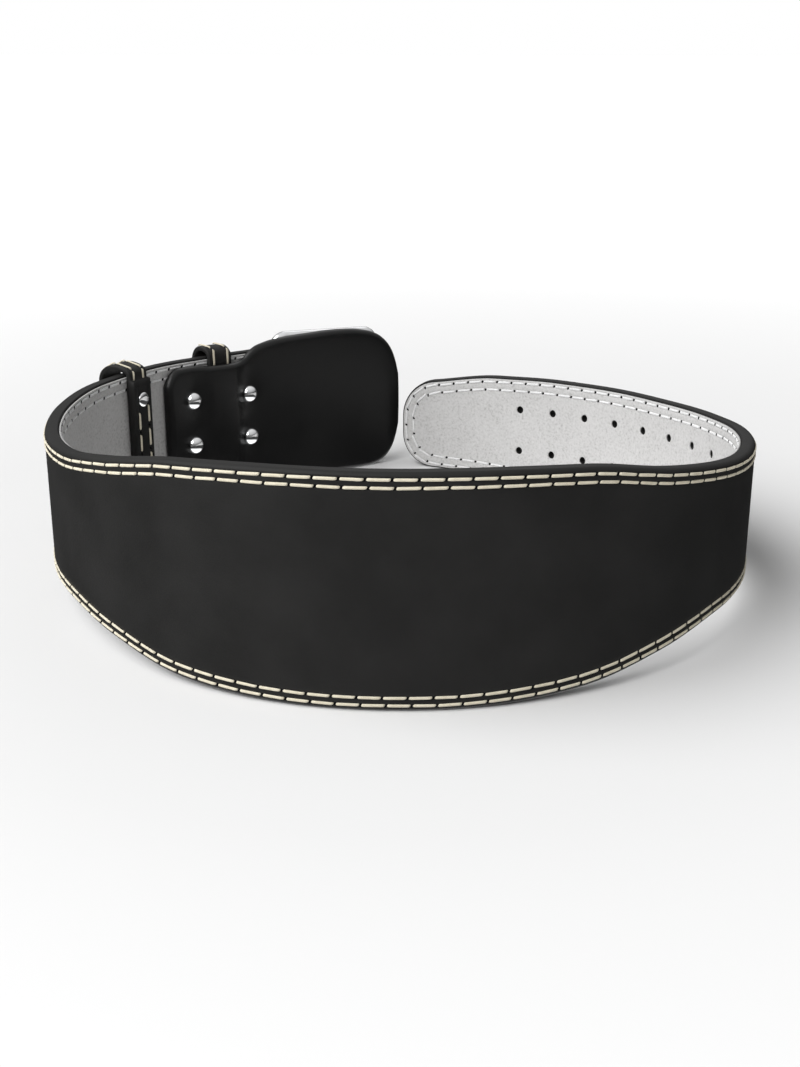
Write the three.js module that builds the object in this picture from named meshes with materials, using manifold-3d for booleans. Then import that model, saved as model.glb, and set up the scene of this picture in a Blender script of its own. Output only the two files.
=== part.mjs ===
// Weightlifting belt, unfastened, standing on its lower edge.
// Millimetres, +Z up. The back panel faces -Y and the two ends meet at +Y.
// Places on the strap are given as (along, up, out): along the strap from the middle
// of the back, positive towards the tongue, up from the strap's centre line, and out
// from its middle layer.

import * as THREE from 'three';
import { mergeVertices } from 'three/addons/utils/BufferGeometryUtils.js';
import Module from 'manifold-3d';

const wasm = await Module();
wasm.setup();

// Gap between pieces that lie on each other
const gap = 0.3;

// The strap
const backHeight = 108;
const armLength = 572;
const leatherThickness = 7;
const liningThickness = 1;
const strapRounding = 2.2;
const liningInset = 1.2;
const tongueCorner = 24;
const ringSpacing = 13;

// The punched holes, in two rows
const holeDiameter = 4.8;
const holePairs = 11;
const holeSpacing = 25;
const holeRowSpacing = 27.4;
const firstHoleFromTip = 87.5;

// The guard behind the buckle. What lies at it is placed from its start along the strap.
const guardStart = 373;
const guardLength = 186;
const guardHeight = 96;
const guardThickness = 5;

// The keepers
const keeperFreeWidth = 16;
const keeperFixedWidth = 18;
const keeperThickness = 2.8;
const keeperFreeRise = 5.1;
const keeperFixedRise = 6.2;
const keeperEdge = 0.8;
const keeperFreeAt = guardStart - 24;
const keeperFixedAt = guardStart + guardLength * 0.249;
const overlapTop = 33;
const keeperRivetUp = 21;

// The guard's rivets
const rivetBackAt = guardStart + guardLength * 0.1075;
const rivetFrontAt = guardStart + guardLength * 0.355;
const rivetRowSpacing = 27.8;
const rivetDome = 11;
const rivetDomeRise = 3.2;
const rivetCap = 10;
const rivetCapRise = 1.6;
const rivetShank = 4;
const smallRivetHead = 8;

// The end of the strap, and the leather that holds the buckle on it
const strapEnd = guardStart + 79;
const buckleStrapStart = guardStart + 10;
const buckleStrapReturn = strapEnd - 21;
const buckleStrapHeight = 65;
const buckleStrapThickness = 3;
const foldStart = 14;
const slotBehindBar = 17;
const slotBeforeBar = 12;

// The buckle
const barAt = strapEnd + 17.5;
const barToRoller = 76.5;
const frameHeight = 90.5;
const frameLift = 1.9;
const frameWire = 6.6;
const frameCorner = 8;
const rollerDiameter = 10.2;
const rollerLength = 66;
const prongWidth = 6;
const prongThickness = 3.6;
const prongEye = 12;

// Layers, measured out from the middle of the strap's thickness
const strapThickness = leatherThickness + gap + liningThickness;
const outerFace = strapThickness / 2;
const leatherBack = outerFace - leatherThickness;
const innerFace = -strapThickness / 2;
const buckleLayer = outerFace + gap + buckleStrapThickness / 2;
const returnLayer = buckleLayer + gap + buckleStrapThickness;
const barOut = (buckleLayer + returnLayer) / 2;
const keeperInner = innerFace - gap - keeperThickness / 2;
const keeperFreeOuter = outerFace + strapThickness + 2 * gap + keeperThickness / 2;
const keeperFixedOuter = outerFace + buckleStrapThickness + 2 * gap + keeperThickness / 2;

// The strap's course. at: share of armLength from the middle of the back.
// buckleTurn, tongueTurn: degrees turned on each arm. buckleHeight, tongueHeight: its height
// and buckleClear, tongueClear: its lower edge above the floor, as shares of backHeight.
const courseColumns = ['at', 'buckleTurn', 'tongueTurn', 'buckleHeight', 'tongueHeight',
  'buckleClear', 'tongueClear'];
const course = [
  [0, 0, 0, 1, 1, 0, 0],
  [0.04, 7, 6.5, 1, 1, 0, 0],
  [0.08, 14.5, 14, 0.994, 0.994, 0.003, 0.003],
  [0.16, 29.5, 28, 0.948, 0.948, 0.023, 0.026],
  [0.24, 43.5, 42, 0.81, 0.81, 0.091, 0.09],
  [0.32, 57.5, 57, 0.7, 0.696, 0.136, 0.139],
  [0.4, 72, 74, 0.68, 0.656, 0.132, 0.139],
  [0.48, 90, 91.5, 0.67, 0.643, 0.158, 0.123],
  [0.56, 108.5, 106.5, 0.66, 0.634, 0.187, 0.093],
  [0.64, 120.5, 119.5, 0.67, 0.634, 0.178, 0.062],
  [0.72, 129.5, 131.5, 0.715, 0.64, 0.119, 0.037],
  [0.8, 137, 142.5, 0.728, 0.643, 0.094, 0.013],
  [0.88, 142, 151, 0.685, 0.627, 0.102, 0],
  [0.96, 148, 159, 0.685, 0.558, 0.07, 0],
  [1, 153, 163.5, 0.685, 0.525, 0.054, 0],
].map((row) => Object.fromEntries(row.map((value, i) => [courseColumns[i], value])));

// The guard's outline. at: share of its length from the tab. half: share of half its height.
// lift: share of the keeper it passes over. puff: share of guardThickness.
const guardRows = [
  { at: 0, half: 0.48, lift: 0, puff: 0.35 },
  { at: 0.008, half: 0.54, lift: 0, puff: 0.85 },
  { at: 0.03, half: 0.645, lift: 0, puff: 1 },
  { at: 0.06, half: 0.7, lift: 0, puff: 1 },
  { at: 0.1, half: 0.715, lift: 0, puff: 1 },
  { at: 0.15, half: 0.72, lift: 0, puff: 1 },
  { at: 0.185, half: 0.715, lift: 1, puff: 1 },
  { at: 0.24, half: 0.715, lift: 1, puff: 1 },
  { at: 0.295, half: 0.715, lift: 1, puff: 1 },
  { at: 0.322, half: 0.72, lift: 0, puff: 0.9 },
  { at: 0.345, half: 0.74, lift: 0, puff: 0.88 },
  { at: 0.375, half: 0.83, lift: 0, puff: 0.9 },
  { at: 0.41, half: 0.9, lift: 0, puff: 1 },
  { at: 0.48, half: 0.95, lift: 0, puff: 1.15 },
  { at: 0.6, half: 0.985, lift: 0, puff: 1.25 },
  { at: 0.7, half: 1, lift: 0, puff: 1.25 },
  { at: 0.79, half: 1, lift: 0, puff: 1.2 },
  { at: 0.86, half: 0.98, lift: 0, puff: 1.15 },
  { at: 0.91, half: 0.93, lift: 0, puff: 1.1 },
  { at: 0.945, half: 0.84, lift: 0, puff: 1 },
  { at: 0.97, half: 0.72, lift: 0, puff: 0.95 },
  { at: 0.988, half: 0.55, lift: 0, puff: 0.8 },
  { at: 1, half: 0.36, lift: 0, puff: 0.35 },
];

const wholeTurn = Math.PI * 2;

// Smooth value of a table's column with no overshoot between its rows
function read(rows, column, at) {
  const last = rows.length - 1;
  if (at <= rows[0].at) return rows[0][column];
  if (at >= rows[last].at) return rows[last][column];
  const slope = (i) => (rows[i + 1][column] - rows[i][column]) / (rows[i + 1].at - rows[i].at);
  const tangent = (i) => {
    if (i === 0) return slope(0);
    if (i === last) return slope(last - 1);
    const before = slope(i - 1);
    const after = slope(i);
    return before * after <= 0 ? 0 : (2 * before * after) / (before + after);
  };
  let i = 0;
  while (rows[i + 1].at < at) i += 1;
  const span = rows[i + 1].at - rows[i].at;
  const t = (at - rows[i].at) / span;
  const keep = 2 * t ** 3 - 3 * t ** 2 + 1;
  return keep * rows[i][column] + (1 - keep) * rows[i + 1][column]
    + span * (t ** 3 - 2 * t ** 2 + t) * tangent(i)
    + span * (t ** 3 - t ** 2) * tangent(i + 1);
}

// Heading of the strap in radians, counted from +X
function heading(along) {
  const at = Math.abs(along) / armLength;
  const degrees = along < 0 ? -read(course, 'buckleTurn', at) : read(course, 'tongueTurn', at);
  return THREE.MathUtils.degToRad(degrees);
}

// Points of the strap's middle layer seen from above, a step apart on both arms
const courseStep = 2;
const courseSteps = Math.ceil((armLength * 1.05) / courseStep);
function walk(side) {
  const points = [new THREE.Vector2(0, 0)];
  for (let i = 0; i < courseSteps; i += 1) {
    const turned = heading(side * (i + 0.5) * courseStep);
    const ahead = new THREE.Vector2(Math.cos(turned), Math.sin(turned));
    points.push(points[i].clone().addScaledVector(ahead, side * courseStep));
  }
  return points;
}
const arms = { buckle: walk(-1), tongue: walk(1) };

// The strap's height and the height of its centre line above the floor
function strapHeight(along) {
  const side = along < 0 ? 'buckle' : 'tongue';
  return backHeight * read(course, `${side}Height`, Math.abs(along) / armLength);
}

function centreHeight(along) {
  const side = along < 0 ? 'buckle' : 'tongue';
  const clear = backHeight * read(course, `${side}Clear`, Math.abs(along) / armLength);
  return clear + strapHeight(along) / 2;
}

// The point at a place on the strap. The floor presses flat what would reach below it.
function onStrap(along, up, out) {
  const points = along < 0 ? arms.buckle : arms.tongue;
  const steps = Math.abs(along) / courseStep;
  const i = Math.min(Math.floor(steps), courseSteps - 1);
  const middle = points[i].clone().lerp(points[i + 1], steps - i);
  const turned = heading(along);
  return new THREE.Vector3(
    middle.x + Math.sin(turned) * out,
    middle.y - Math.cos(turned) * out,
    Math.max(centreHeight(along) + up, 0),
  );
}

// Half the strap's height, with the tongue's rounded corners
function strapHalf(along) {
  const half = strapHeight(along) / 2;
  const fromTip = armLength - along;
  if (fromTip >= tongueCorner) return half;
  const into = tongueCorner - Math.max(fromTip, 0);
  return half - tongueCorner + Math.sqrt(tongueCorner ** 2 - into ** 2);
}

// Closed body through rings of points, each ring with the same count.
// A loop joins its last ring to its first, any other body gets flat ends.
function bodyFromRings(rings, loop = false) {
  const count = rings[0].length;
  const places = rings.flat().flatMap((p) => [p.x, p.y, p.z]);
  const faces = [];
  const joins = loop ? rings.length : rings.length - 1;
  for (let i = 0; i < joins; i += 1) {
    const here = i * count;
    const next = ((i + 1) % rings.length) * count;
    for (let k = 0; k < count; k += 1) {
      const m = (k + 1) % count;
      faces.push(here + k, next + m, here + m);
      faces.push(here + k, next + k, next + m);
    }
  }
  if (!loop) {
    for (const end of [0, rings.length - 1]) {
      const middle = new THREE.Vector3();
      for (const p of rings[end]) middle.addScaledVector(p, 1 / count);
      const centre = places.length / 3;
      places.push(middle.x, middle.y, middle.z);
      for (let k = 0; k < count; k += 1) {
        const m = (k + 1) % count;
        const edge = end === 0 ? [k, m] : [m, k];
        faces.push(centre, end * count + edge[0], end * count + edge[1]);
      }
    }
  }
  return facingOut(new THREE.BufferGeometry()
    .setAttribute('position', new THREE.Float32BufferAttribute(places, 3))
    .setIndex(faces));
}

// The geometry with its faces turned outwards, and nothing but positions
function facingOut(source) {
  const bare = new THREE.BufferGeometry()
    .setAttribute('position', source.attributes.position.clone());
  if (source.index) bare.setIndex(source.index.clone());
  const geometry = mergeVertices(bare, 1e-4);
  const p = geometry.attributes.position;
  const index = geometry.index.array;
  const [a, b, c] = [new THREE.Vector3(), new THREE.Vector3(), new THREE.Vector3()];
  let volume = 0;
  for (let i = 0; i < index.length; i += 3) {
    a.fromBufferAttribute(p, index[i]);
    b.fromBufferAttribute(p, index[i + 1]);
    c.fromBufferAttribute(p, index[i + 2]);
    volume += a.dot(b.clone().cross(c));
  }
  if (volume < 0) {
    for (let i = 0; i < index.length; i += 3) {
      [index[i + 1], index[i + 2]] = [index[i + 2], index[i + 1]];
    }
  }
  return geometry;
}

function toSolid(geometry) {
  return new wasm.Manifold(new wasm.Mesh({
    numProp: 3,
    vertProperties: new Float32Array(geometry.attributes.position.array),
    triVerts: new Uint32Array(geometry.index.array),
  }));
}

function fromSolid(solid) {
  const mesh = solid.getMesh();
  return new THREE.BufferGeometry()
    .setAttribute('position', new THREE.Float32BufferAttribute(mesh.vertProperties, 3))
    .setIndex(new THREE.Uint32BufferAttribute(mesh.triVerts, 1));
}

function cut(geometry, cutters) {
  let solid = toSolid(geometry);
  for (const cutter of cutters) solid = solid.subtract(toSolid(cutter));
  return fromSolid(solid);
}

// A rounded rectangle as [across, up] points, corner by corner
function roundedBox(low, high, bottom, top, radius, steps = 2) {
  const points = [];
  const corners = [
    { x: high - radius, y: top - radius, start: 0 },
    { x: low + radius, y: top - radius, start: 1 },
    { x: low + radius, y: bottom + radius, start: 2 },
    { x: high - radius, y: bottom + radius, start: 3 },
  ];
  for (const corner of corners) {
    for (let i = 0; i <= steps; i += 1) {
      const angle = (corner.start + i / steps) * (wholeTurn / 4);
      points.push([corner.x + radius * Math.cos(angle), corner.y + radius * Math.sin(angle)]);
    }
  }
  return points;
}

// Places along the strap from one end to the other, with extra ones near the tongue's tip
function stations(from, to, spacing) {
  const places = [];
  const tipStart = armLength - tongueCorner;
  const plainEnd = Math.min(to, tipStart);
  const count = Math.round((plainEnd - from) / spacing);
  for (let i = 0; i <= count; i += 1) places.push(from + ((plainEnd - from) * i) / count);
  if (to <= tipStart) return places;
  const tipLength = to - tipStart;
  for (const angle of [15, 30, 45, 60, 72, 82, 90]) {
    places.push(tipStart + tipLength * Math.sin(THREE.MathUtils.degToRad(angle)));
  }
  return places;
}

// One layer of the strap, rounded at its edges and at its two ends
function strapLayer({ from, to, inner, outer, rounding, inset, spacing, corner }) {
  const rings = [];
  const slices = stations(from, to - inset, spacing);
  slices.splice(1, 0, from + rounding);
  const thickness = outer - inner;
  slices.forEach((along, i) => {
    const atEnd = i === 0 || i === slices.length - 1;
    const thin = atEnd ? Math.min(rounding, thickness / 4) : 0;
    const half = strapHalf(along + inset) - inset;
    const radius = Math.min(rounding, thickness * 0.49 - thin);
    const ring = roundedBox(inner + thin, outer - thin, -half, half, radius, corner);
    rings.push(ring.map(([out, up]) => onStrap(along, up, out)));
  });
  return bodyFromRings(rings);
}

// A round cutter or pin through the strap's layers, as rows of { out, radius }
function throughStrap(along, up, rows, sides = 10) {
  const at = onStrap(along, up, 0);
  const turned = heading(along);
  const profile = rows.map((row) => new THREE.Vector2(row.radius, row.out));
  const turnedBody = new THREE.LatheGeometry(profile, sides);
  // The lathe turns about Y, which is laid along the strap's outward direction
  const outward = new THREE.Vector3(Math.sin(turned), -Math.cos(turned), 0);
  turnedBody.applyQuaternion(
    new THREE.Quaternion().setFromUnitVectors(new THREE.Vector3(0, 1, 0), outward),
  );
  turnedBody.translate(at.x, at.y, at.z);
  return facingOut(turnedBody);
}

function drill(along, up, diameter, sides = 10) {
  const reach = 3 * strapThickness;
  return throughStrap(along, up, [
    { out: -reach, radius: 0 },
    { out: -reach, radius: diameter / 2 },
    { out: reach, radius: diameter / 2 },
    { out: reach, radius: 0 },
  ], sides);
}

// The holes of the tongue and of the four rivets
const tongueDrills = [];
for (let i = 0; i < holePairs; i += 1) {
  const along = armLength - firstHoleFromTip - i * holeSpacing;
  for (const side of [-1, 1]) tongueDrills.push(drill(along, (side * holeRowSpacing) / 2, holeDiameter));
}
const rivetPlaces = [
  { name: 'rivet_back_upper', at: rivetBackAt, side: 1 },
  { name: 'rivet_back_lower', at: rivetBackAt, side: -1 },
  { name: 'rivet_front_upper', at: rivetFrontAt, side: 1 },
  { name: 'rivet_front_lower', at: rivetFrontAt, side: -1 },
];
const rivetDrills = rivetPlaces.map(({ at, side }) => (
  drill(-at, (side * rivetRowSpacing) / 2, rivetShank + 2 * gap)));

const beltBody = cut(strapLayer({
  from: -strapEnd,
  to: armLength,
  inner: leatherBack,
  outer: outerFace,
  rounding: strapRounding,
  inset: 0,
  spacing: ringSpacing,
  corner: 2,
}), [...tongueDrills, ...rivetDrills]);

const lining = cut(strapLayer({
  from: -strapEnd,
  to: armLength,
  inner: innerFace,
  outer: innerFace + liningThickness,
  rounding: liningThickness * 0.3,
  inset: liningInset,
  spacing: ringSpacing,
  corner: 1,
}), [...tongueDrills, ...rivetDrills]);

// The guard, a padded plate that rises over the keeper under its tab
function guard() {
  const lifted = keeperThickness + gap;
  const back = innerFace - gap;
  const rings = guardRows.map((row) => {
    const along = -(guardStart + row.at * guardLength);
    const outer = back - row.lift * lifted;
    const thickness = guardThickness * row.puff;
    const inner = outer - thickness;
    const half = (guardHeight / 2) * row.half;
    const ring = roundedBox(inner, outer, -half, half, thickness * 0.42);
    return ring.map(([out, up]) => onStrap(along, up, out));
  });
  return cut(bodyFromRings(rings), rivetDrills);
}

// A keeper, a band that loops over and under the strap. outer: its leg on the outer side.
// overlap: the band's end laid over itself on the inner side, from overlapTop downwards.
function keeper({ at, width, outer, rise, overlap }) {
  const middle = (keeperInner + outer) / 2;
  const reach = (outer - keeperInner) / 2;
  const legTop = strapHalf(-at) - gap / 2;
  const archRise = rise - keeperThickness / 2 + gap / 2;
  const archSteps = 10;
  const path = [];
  // Up the inner leg, over the top, down the outer leg and back underneath
  for (const end of [1, -1]) {
    for (let i = 0; i <= archSteps; i += 1) {
      const angle = (i / archSteps) * (wholeTurn / 2);
      path.push({
        out: middle - end * reach * Math.cos(angle),
        up: end * (legTop + archRise * Math.sin(angle)),
        normal: new THREE.Vector2(-end * Math.cos(angle) / reach, end * Math.sin(angle) / archRise)
          .normalize(),
        layers: 1,
      });
    }
  }
  if (overlap) {
    const step = keeperEdge / 2;
    const inner = (up, layers) => ({ out: keeperInner, up, normal: new THREE.Vector2(-1, 0), layers });
    path.push(inner(-overlapTop, 1));
    path.push(inner(-overlapTop + step, 2));
    path.push(inner(overlapTop - step, 2));
    path.push(inner(overlapTop, 1));
  }
  const rings = path.map(({ out, up, normal, layers }) => {
    const low = -keeperThickness / 2;
    const high = low + keeperThickness * layers;
    const section = roundedBox(-width / 2, width / 2, low, high, keeperEdge, 1);
    return section.map(([side, thick]) => (
      onStrap(-at + side, up + normal.y * thick, out + normal.x * thick)));
  });
  return bodyFromRings(rings, true);
}
const keeperRivetDrill = throughStrap(-keeperFreeAt, keeperRivetUp, [
  { out: keeperInner, radius: 0 },
  { out: keeperInner, radius: rivetShank / 2 + gap },
  { out: keeperInner - 3 * keeperThickness, radius: rivetShank / 2 + gap },
  { out: keeperInner - 3 * keeperThickness, radius: 0 },
]);
const keeperFree = cut(keeper({
  at: keeperFreeAt, width: keeperFreeWidth, outer: keeperFreeOuter, rise: keeperFreeRise,
  overlap: true,
}), [keeperRivetDrill]);
const keeperFixed = keeper({
  at: keeperFixedAt, width: keeperFixedWidth, outer: keeperFixedOuter, rise: keeperFixedRise,
  overlap: false,
});

// A domed head on a pin, as rows of { out, radius } from the dome's top to its rim.
// face: where its rim sits. toward: -1 for a head on the inner side, 1 for the outer side.
function domeRows(face, toward, radius, rise, steps = 4) {
  const rows = [];
  for (let i = 0; i <= steps; i += 1) {
    const angle = (i / steps) * (wholeTurn / 4);
    rows.push({
      out: face + toward * (0.25 * rise + 0.75 * rise * Math.cos(angle)),
      radius: radius * Math.sin(angle),
    });
  }
  rows.push({ out: face, radius: radius * 0.97 });
  return rows;
}

// One of the guard's rivets, from its dome inside to its low cap on the buckle strap
function guardRivet({ at, side }) {
  const domeFace = innerFace - 2 * gap - guardThickness;
  const layer = at > buckleStrapReturn ? returnLayer : buckleLayer;
  const capFace = layer + buckleStrapThickness / 2 + gap;
  const rows = domeRows(domeFace, -1, rivetDome / 2, rivetDomeRise);
  rows.push({ out: domeFace, radius: rivetShank / 2 });
  rows.push({ out: capFace, radius: rivetShank / 2 });
  rows.push(...domeRows(capFace, 1, rivetCap / 2, rivetCapRise, 3).reverse());
  return throughStrap(-at, (side * rivetRowSpacing) / 2, rows, 14);
}

function keeperRivet() {
  const face = keeperInner - keeperThickness * 1.5 - gap;
  const rows = domeRows(face, -1, smallRivetHead / 2, 2);
  rows.push({ out: face, radius: rivetShank / 2 });
  rows.push({ out: keeperInner - gap, radius: rivetShank / 2 });
  rows.push({ out: keeperInner - gap, radius: 0 });
  return throughStrap(-keeperFreeAt, keeperRivetUp, rows, 14);
}

// The buckle lies in its own flat frame: across from the bar to the roller, out, up.
// It slopes down with the strap, and lean is how far that shifts a place for each mm up.
const barPoint = onStrap(-barAt, 0, barOut);
const rollerGuide = onStrap(-(barAt + barToRoller), 0, barOut);
const across = rollerGuide.clone().sub(barPoint).normalize();
const outwards = new THREE.Vector3(0, 0, 1).cross(across).normalize();
const upwards = across.clone().cross(outwards);
const buckleAxes = new THREE.Matrix4().makeBasis(across, outwards, upwards).setPosition(barPoint);
const lean = (barPoint.z - rollerGuide.z) / barToRoller;

// The strip that holds the buckle: along the strap, round the bar and back over itself
function buckleStrap() {
  const foldRadius = frameWire / 2 + gap + buckleStrapThickness / 2;
  const ease = buckleStrapThickness * 0.4;
  const path = [];
  const flatSteps = 4;
  for (let i = 0; i <= flatSteps; i += 1) {
    const along = buckleStrapStart + ((strapEnd - buckleStrapStart) * i) / flatSteps;
    path.push({ along, out: buckleLayer });
  }
  path.push({ along: barAt - foldStart, out: buckleLayer - ease });
  path.push({ along: barAt - foldStart / 2, out: barOut - foldRadius + ease * 0.4 });
  const foldSteps = 10;
  for (let i = 0; i <= foldSteps; i += 1) {
    const angle = (i / foldSteps - 0.5) * (wholeTurn / 2);
    path.push({
      along: barAt + foldRadius * Math.cos(angle),
      out: barOut + foldRadius * Math.sin(angle),
    });
  }
  path.push({ along: barAt - foldStart / 2, out: barOut + foldRadius - ease * 0.4 });
  path.push({ along: barAt - foldStart, out: returnLayer + ease });
  path.push({ along: strapEnd, out: returnLayer });
  path.push({ along: buckleStrapReturn, out: returnLayer });
  const rings = path.map((place, i) => {
    const before = path[Math.max(i - 1, 0)];
    const after = path[Math.min(i + 1, path.length - 1)];
    const ahead = new THREE.Vector2(after.along - before.along, after.out - before.out).normalize();
    const half = buckleStrapHeight / 2;
    const thick = buckleStrapThickness / 2;
    return roundedBox(-thick, thick, -half, half, thick / 2, 1).map(([rise, up]) => (
      onStrap(-(place.along + lean * up + ahead.y * rise), up, place.out - ahead.x * rise)));
  });
  const slots = [-1, 1].map((side) => {
    const slotHalf = prongWidth / 2 + 2 * gap;
    const middle = (side * holeRowSpacing) / 2;
    const slotRings = [barAt - slotBehindBar, barAt, barAt + slotBeforeBar].map((along) => (
      roundedBox(barOut - foldStart, barOut + foldStart, middle - slotHalf, middle + slotHalf,
        slotHalf / 8, 1)
        .map(([out, up]) => onStrap(-(along + lean * up), up, out))));
    return bodyFromRings(slotRings);
  });
  return cut(bodyFromRings(rings), [...rivetDrills, ...slots]);
}

function onBuckle(geometry) {
  return facingOut(geometry.applyMatrix4(buckleAxes));
}

function buckleFrame() {
  const halfHeight = (frameHeight - frameWire) / 2;
  const outline = roundedBox(
    0, barToRoller, frameLift - halfHeight, frameLift + halfHeight, frameCorner, 4,
  );
  const sides = 8;
  const rings = outline.map(([x, z], i) => {
    const before = outline[(i + outline.length - 1) % outline.length];
    const after = outline[(i + 1) % outline.length];
    const ahead = new THREE.Vector2(after[0] - before[0], after[1] - before[1]).normalize();
    const ring = [];
    for (let k = 0; k < sides; k += 1) {
      const angle = ((k + 0.5) / sides) * wholeTurn;
      const side = (frameWire / 2) * Math.cos(angle);
      ring.push(new THREE.Vector3(
        x + ahead.y * side,
        (frameWire / 2) * Math.sin(angle),
        z - ahead.x * side,
      ));
    }
    return ring;
  });
  return onBuckle(bodyFromRings(rings, true));
}

function roller() {
  const inner = frameWire / 2 + gap;
  const outer = rollerDiameter / 2;
  const half = rollerLength / 2;
  const profile = [[inner, -half], [outer - 0.6, -half], [outer, -half + 0.6],
    [outer, half - 0.6], [outer - 0.6, half], [inner, half], [inner, -half]];
  const tube = new THREE.LatheGeometry(profile.map(([x, y]) => new THREE.Vector2(x, y)), 20);
  tube.rotateX(wholeTurn / 4);
  tube.translate(barToRoller, 0, 0);
  return onBuckle(tube);
}

// A prong with its eye round the bar and its tip on the roller
function prong(side) {
  const eye = prongEye / 2;
  const onRoller = rollerDiameter / 2 + gap;
  const shape = new THREE.Shape();
  const tip = barToRoller + 7;
  shape.moveTo(eye * 0.94, eye * 0.34);
  shape.lineTo(barToRoller * 0.3, eye - prongThickness);
  shape.lineTo(barToRoller * 0.8, onRoller - 1.2);
  shape.lineTo(barToRoller - 4, onRoller + 0.02);
  shape.lineTo(tip - 1, onRoller - 0.3);
  shape.lineTo(tip, onRoller + 0.6);
  shape.lineTo(tip - 1.5, onRoller + prongThickness * 0.6);
  shape.lineTo(barToRoller, onRoller + prongThickness);
  shape.lineTo(barToRoller * 0.8, onRoller + prongThickness - 1);
  shape.lineTo(barToRoller * 0.3, eye);
  shape.lineTo(0, eye);
  const eyeSteps = 12;
  for (let i = 1; i <= eyeSteps; i += 1) {
    const angle = wholeTurn / 4 + (i / eyeSteps) * (wholeTurn * 0.695);
    shape.lineTo(eye * Math.cos(angle), eye * Math.sin(angle));
  }
  const bore = new THREE.Path();
  bore.absarc(0, 0, frameWire / 2 + gap, 0, wholeTurn, true);
  shape.holes.push(bore);
  const bevel = 0.6;
  const body = new THREE.ExtrudeGeometry(shape, {
    depth: prongWidth - 2 * bevel,
    curveSegments: 8,
    bevelEnabled: true,
    bevelThickness: bevel,
    bevelSize: bevel,
    bevelOffset: -bevel,
    bevelSegments: 1,
  });
  body.translate(0, 0, bevel - prongWidth / 2 + (side * holeRowSpacing) / 2);
  return onBuckle(body);
}

const looks = {
  leather: { color: 0x1e1e1f, roughness: 0.55, metalness: 0 },
  suede: { color: 0xc9c9c8, roughness: 0.95, metalness: 0 },
  softLeather: { color: 0x19191a, roughness: 0.45, metalness: 0 },
  chrome: { color: 0xd9dadc, roughness: 0.12, metalness: 1 },
};

const pieces = [
  { name: 'belt_body', geometry: beltBody, look: looks.leather },
  { name: 'lining', geometry: lining, look: looks.suede },
  { name: 'buckle_guard', geometry: guard(), look: looks.softLeather },
  { name: 'buckle_strap', geometry: buckleStrap(), look: looks.leather },
  { name: 'keeper_free', geometry: keeperFree, look: looks.leather },
  { name: 'keeper_fixed', geometry: keeperFixed, look: looks.leather },
  { name: 'keeper_rivet', geometry: keeperRivet(), look: looks.chrome },
  ...rivetPlaces.map((place) => (
    { name: place.name, geometry: guardRivet(place), look: looks.chrome })),
  { name: 'buckle_frame', geometry: buckleFrame(), look: looks.chrome },
  { name: 'buckle_roller', geometry: roller(), look: looks.chrome },
  { name: 'prong_upper', geometry: prong(1), look: looks.chrome },
  { name: 'prong_lower', geometry: prong(-1), look: looks.chrome },
];

const group = new THREE.Group();
group.name = 'weightlifting_belt';
for (const { name, geometry, look } of pieces) {
  const mesh = new THREE.Mesh(geometry, new THREE.MeshStandardMaterial(look));
  mesh.name = name;
  group.add(mesh);
}

// Stand the belt on z = 0 with its box centred on the origin
const box = new THREE.Box3().setFromObject(group);
const shift = new THREE.Vector3(-(box.min.x + box.max.x) / 2, -(box.min.y + box.max.y) / 2, -box.min.z);
for (const mesh of group.children) mesh.geometry.translate(shift.x, shift.y, shift.z);

export default group;
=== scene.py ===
# A weightlifting belt, unfastened, standing on its lower edge.
# Metres, +Z up. The back panel faces -Y and the two ends meet at +Y.
# Places on the strap are (along, up, out): along the strap from the middle of the back,
# positive towards the tongue, up from its centre line, and out from its middle layer.

import math
import bmesh
import bpy
import numpy as np
from mathutils import Matrix


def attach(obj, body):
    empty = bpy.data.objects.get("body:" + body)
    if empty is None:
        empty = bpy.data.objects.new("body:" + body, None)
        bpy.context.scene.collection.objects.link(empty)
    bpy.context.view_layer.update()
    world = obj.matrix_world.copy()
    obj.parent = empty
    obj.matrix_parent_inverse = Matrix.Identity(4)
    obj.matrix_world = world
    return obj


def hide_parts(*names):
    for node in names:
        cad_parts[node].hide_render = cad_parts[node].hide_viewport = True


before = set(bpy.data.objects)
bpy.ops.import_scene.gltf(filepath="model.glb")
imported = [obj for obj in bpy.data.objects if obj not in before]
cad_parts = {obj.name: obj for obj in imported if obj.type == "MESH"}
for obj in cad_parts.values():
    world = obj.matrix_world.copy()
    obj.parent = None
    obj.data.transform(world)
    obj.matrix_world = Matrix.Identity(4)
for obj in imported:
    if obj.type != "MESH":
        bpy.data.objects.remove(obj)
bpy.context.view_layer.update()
print("frame loaded")

mm = 0.001

belt = {
    "backHeight": 108 * mm,
    "armLength": 572 * mm,
    "leather": 7 * mm,
    "lining": 1 * mm,
    "gap": 0.3 * mm,
    "tongueCorner": 24 * mm,
    "buckleEnd": 452 * mm,
    "backAt": (0.194 * mm, -197.045 * mm),
}
thickness = belt["leather"] + belt["gap"] + belt["lining"]
outerFace = thickness / 2
leatherBack = outerFace - belt["leather"]
innerFace = -thickness / 2
gap = belt["gap"]

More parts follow.
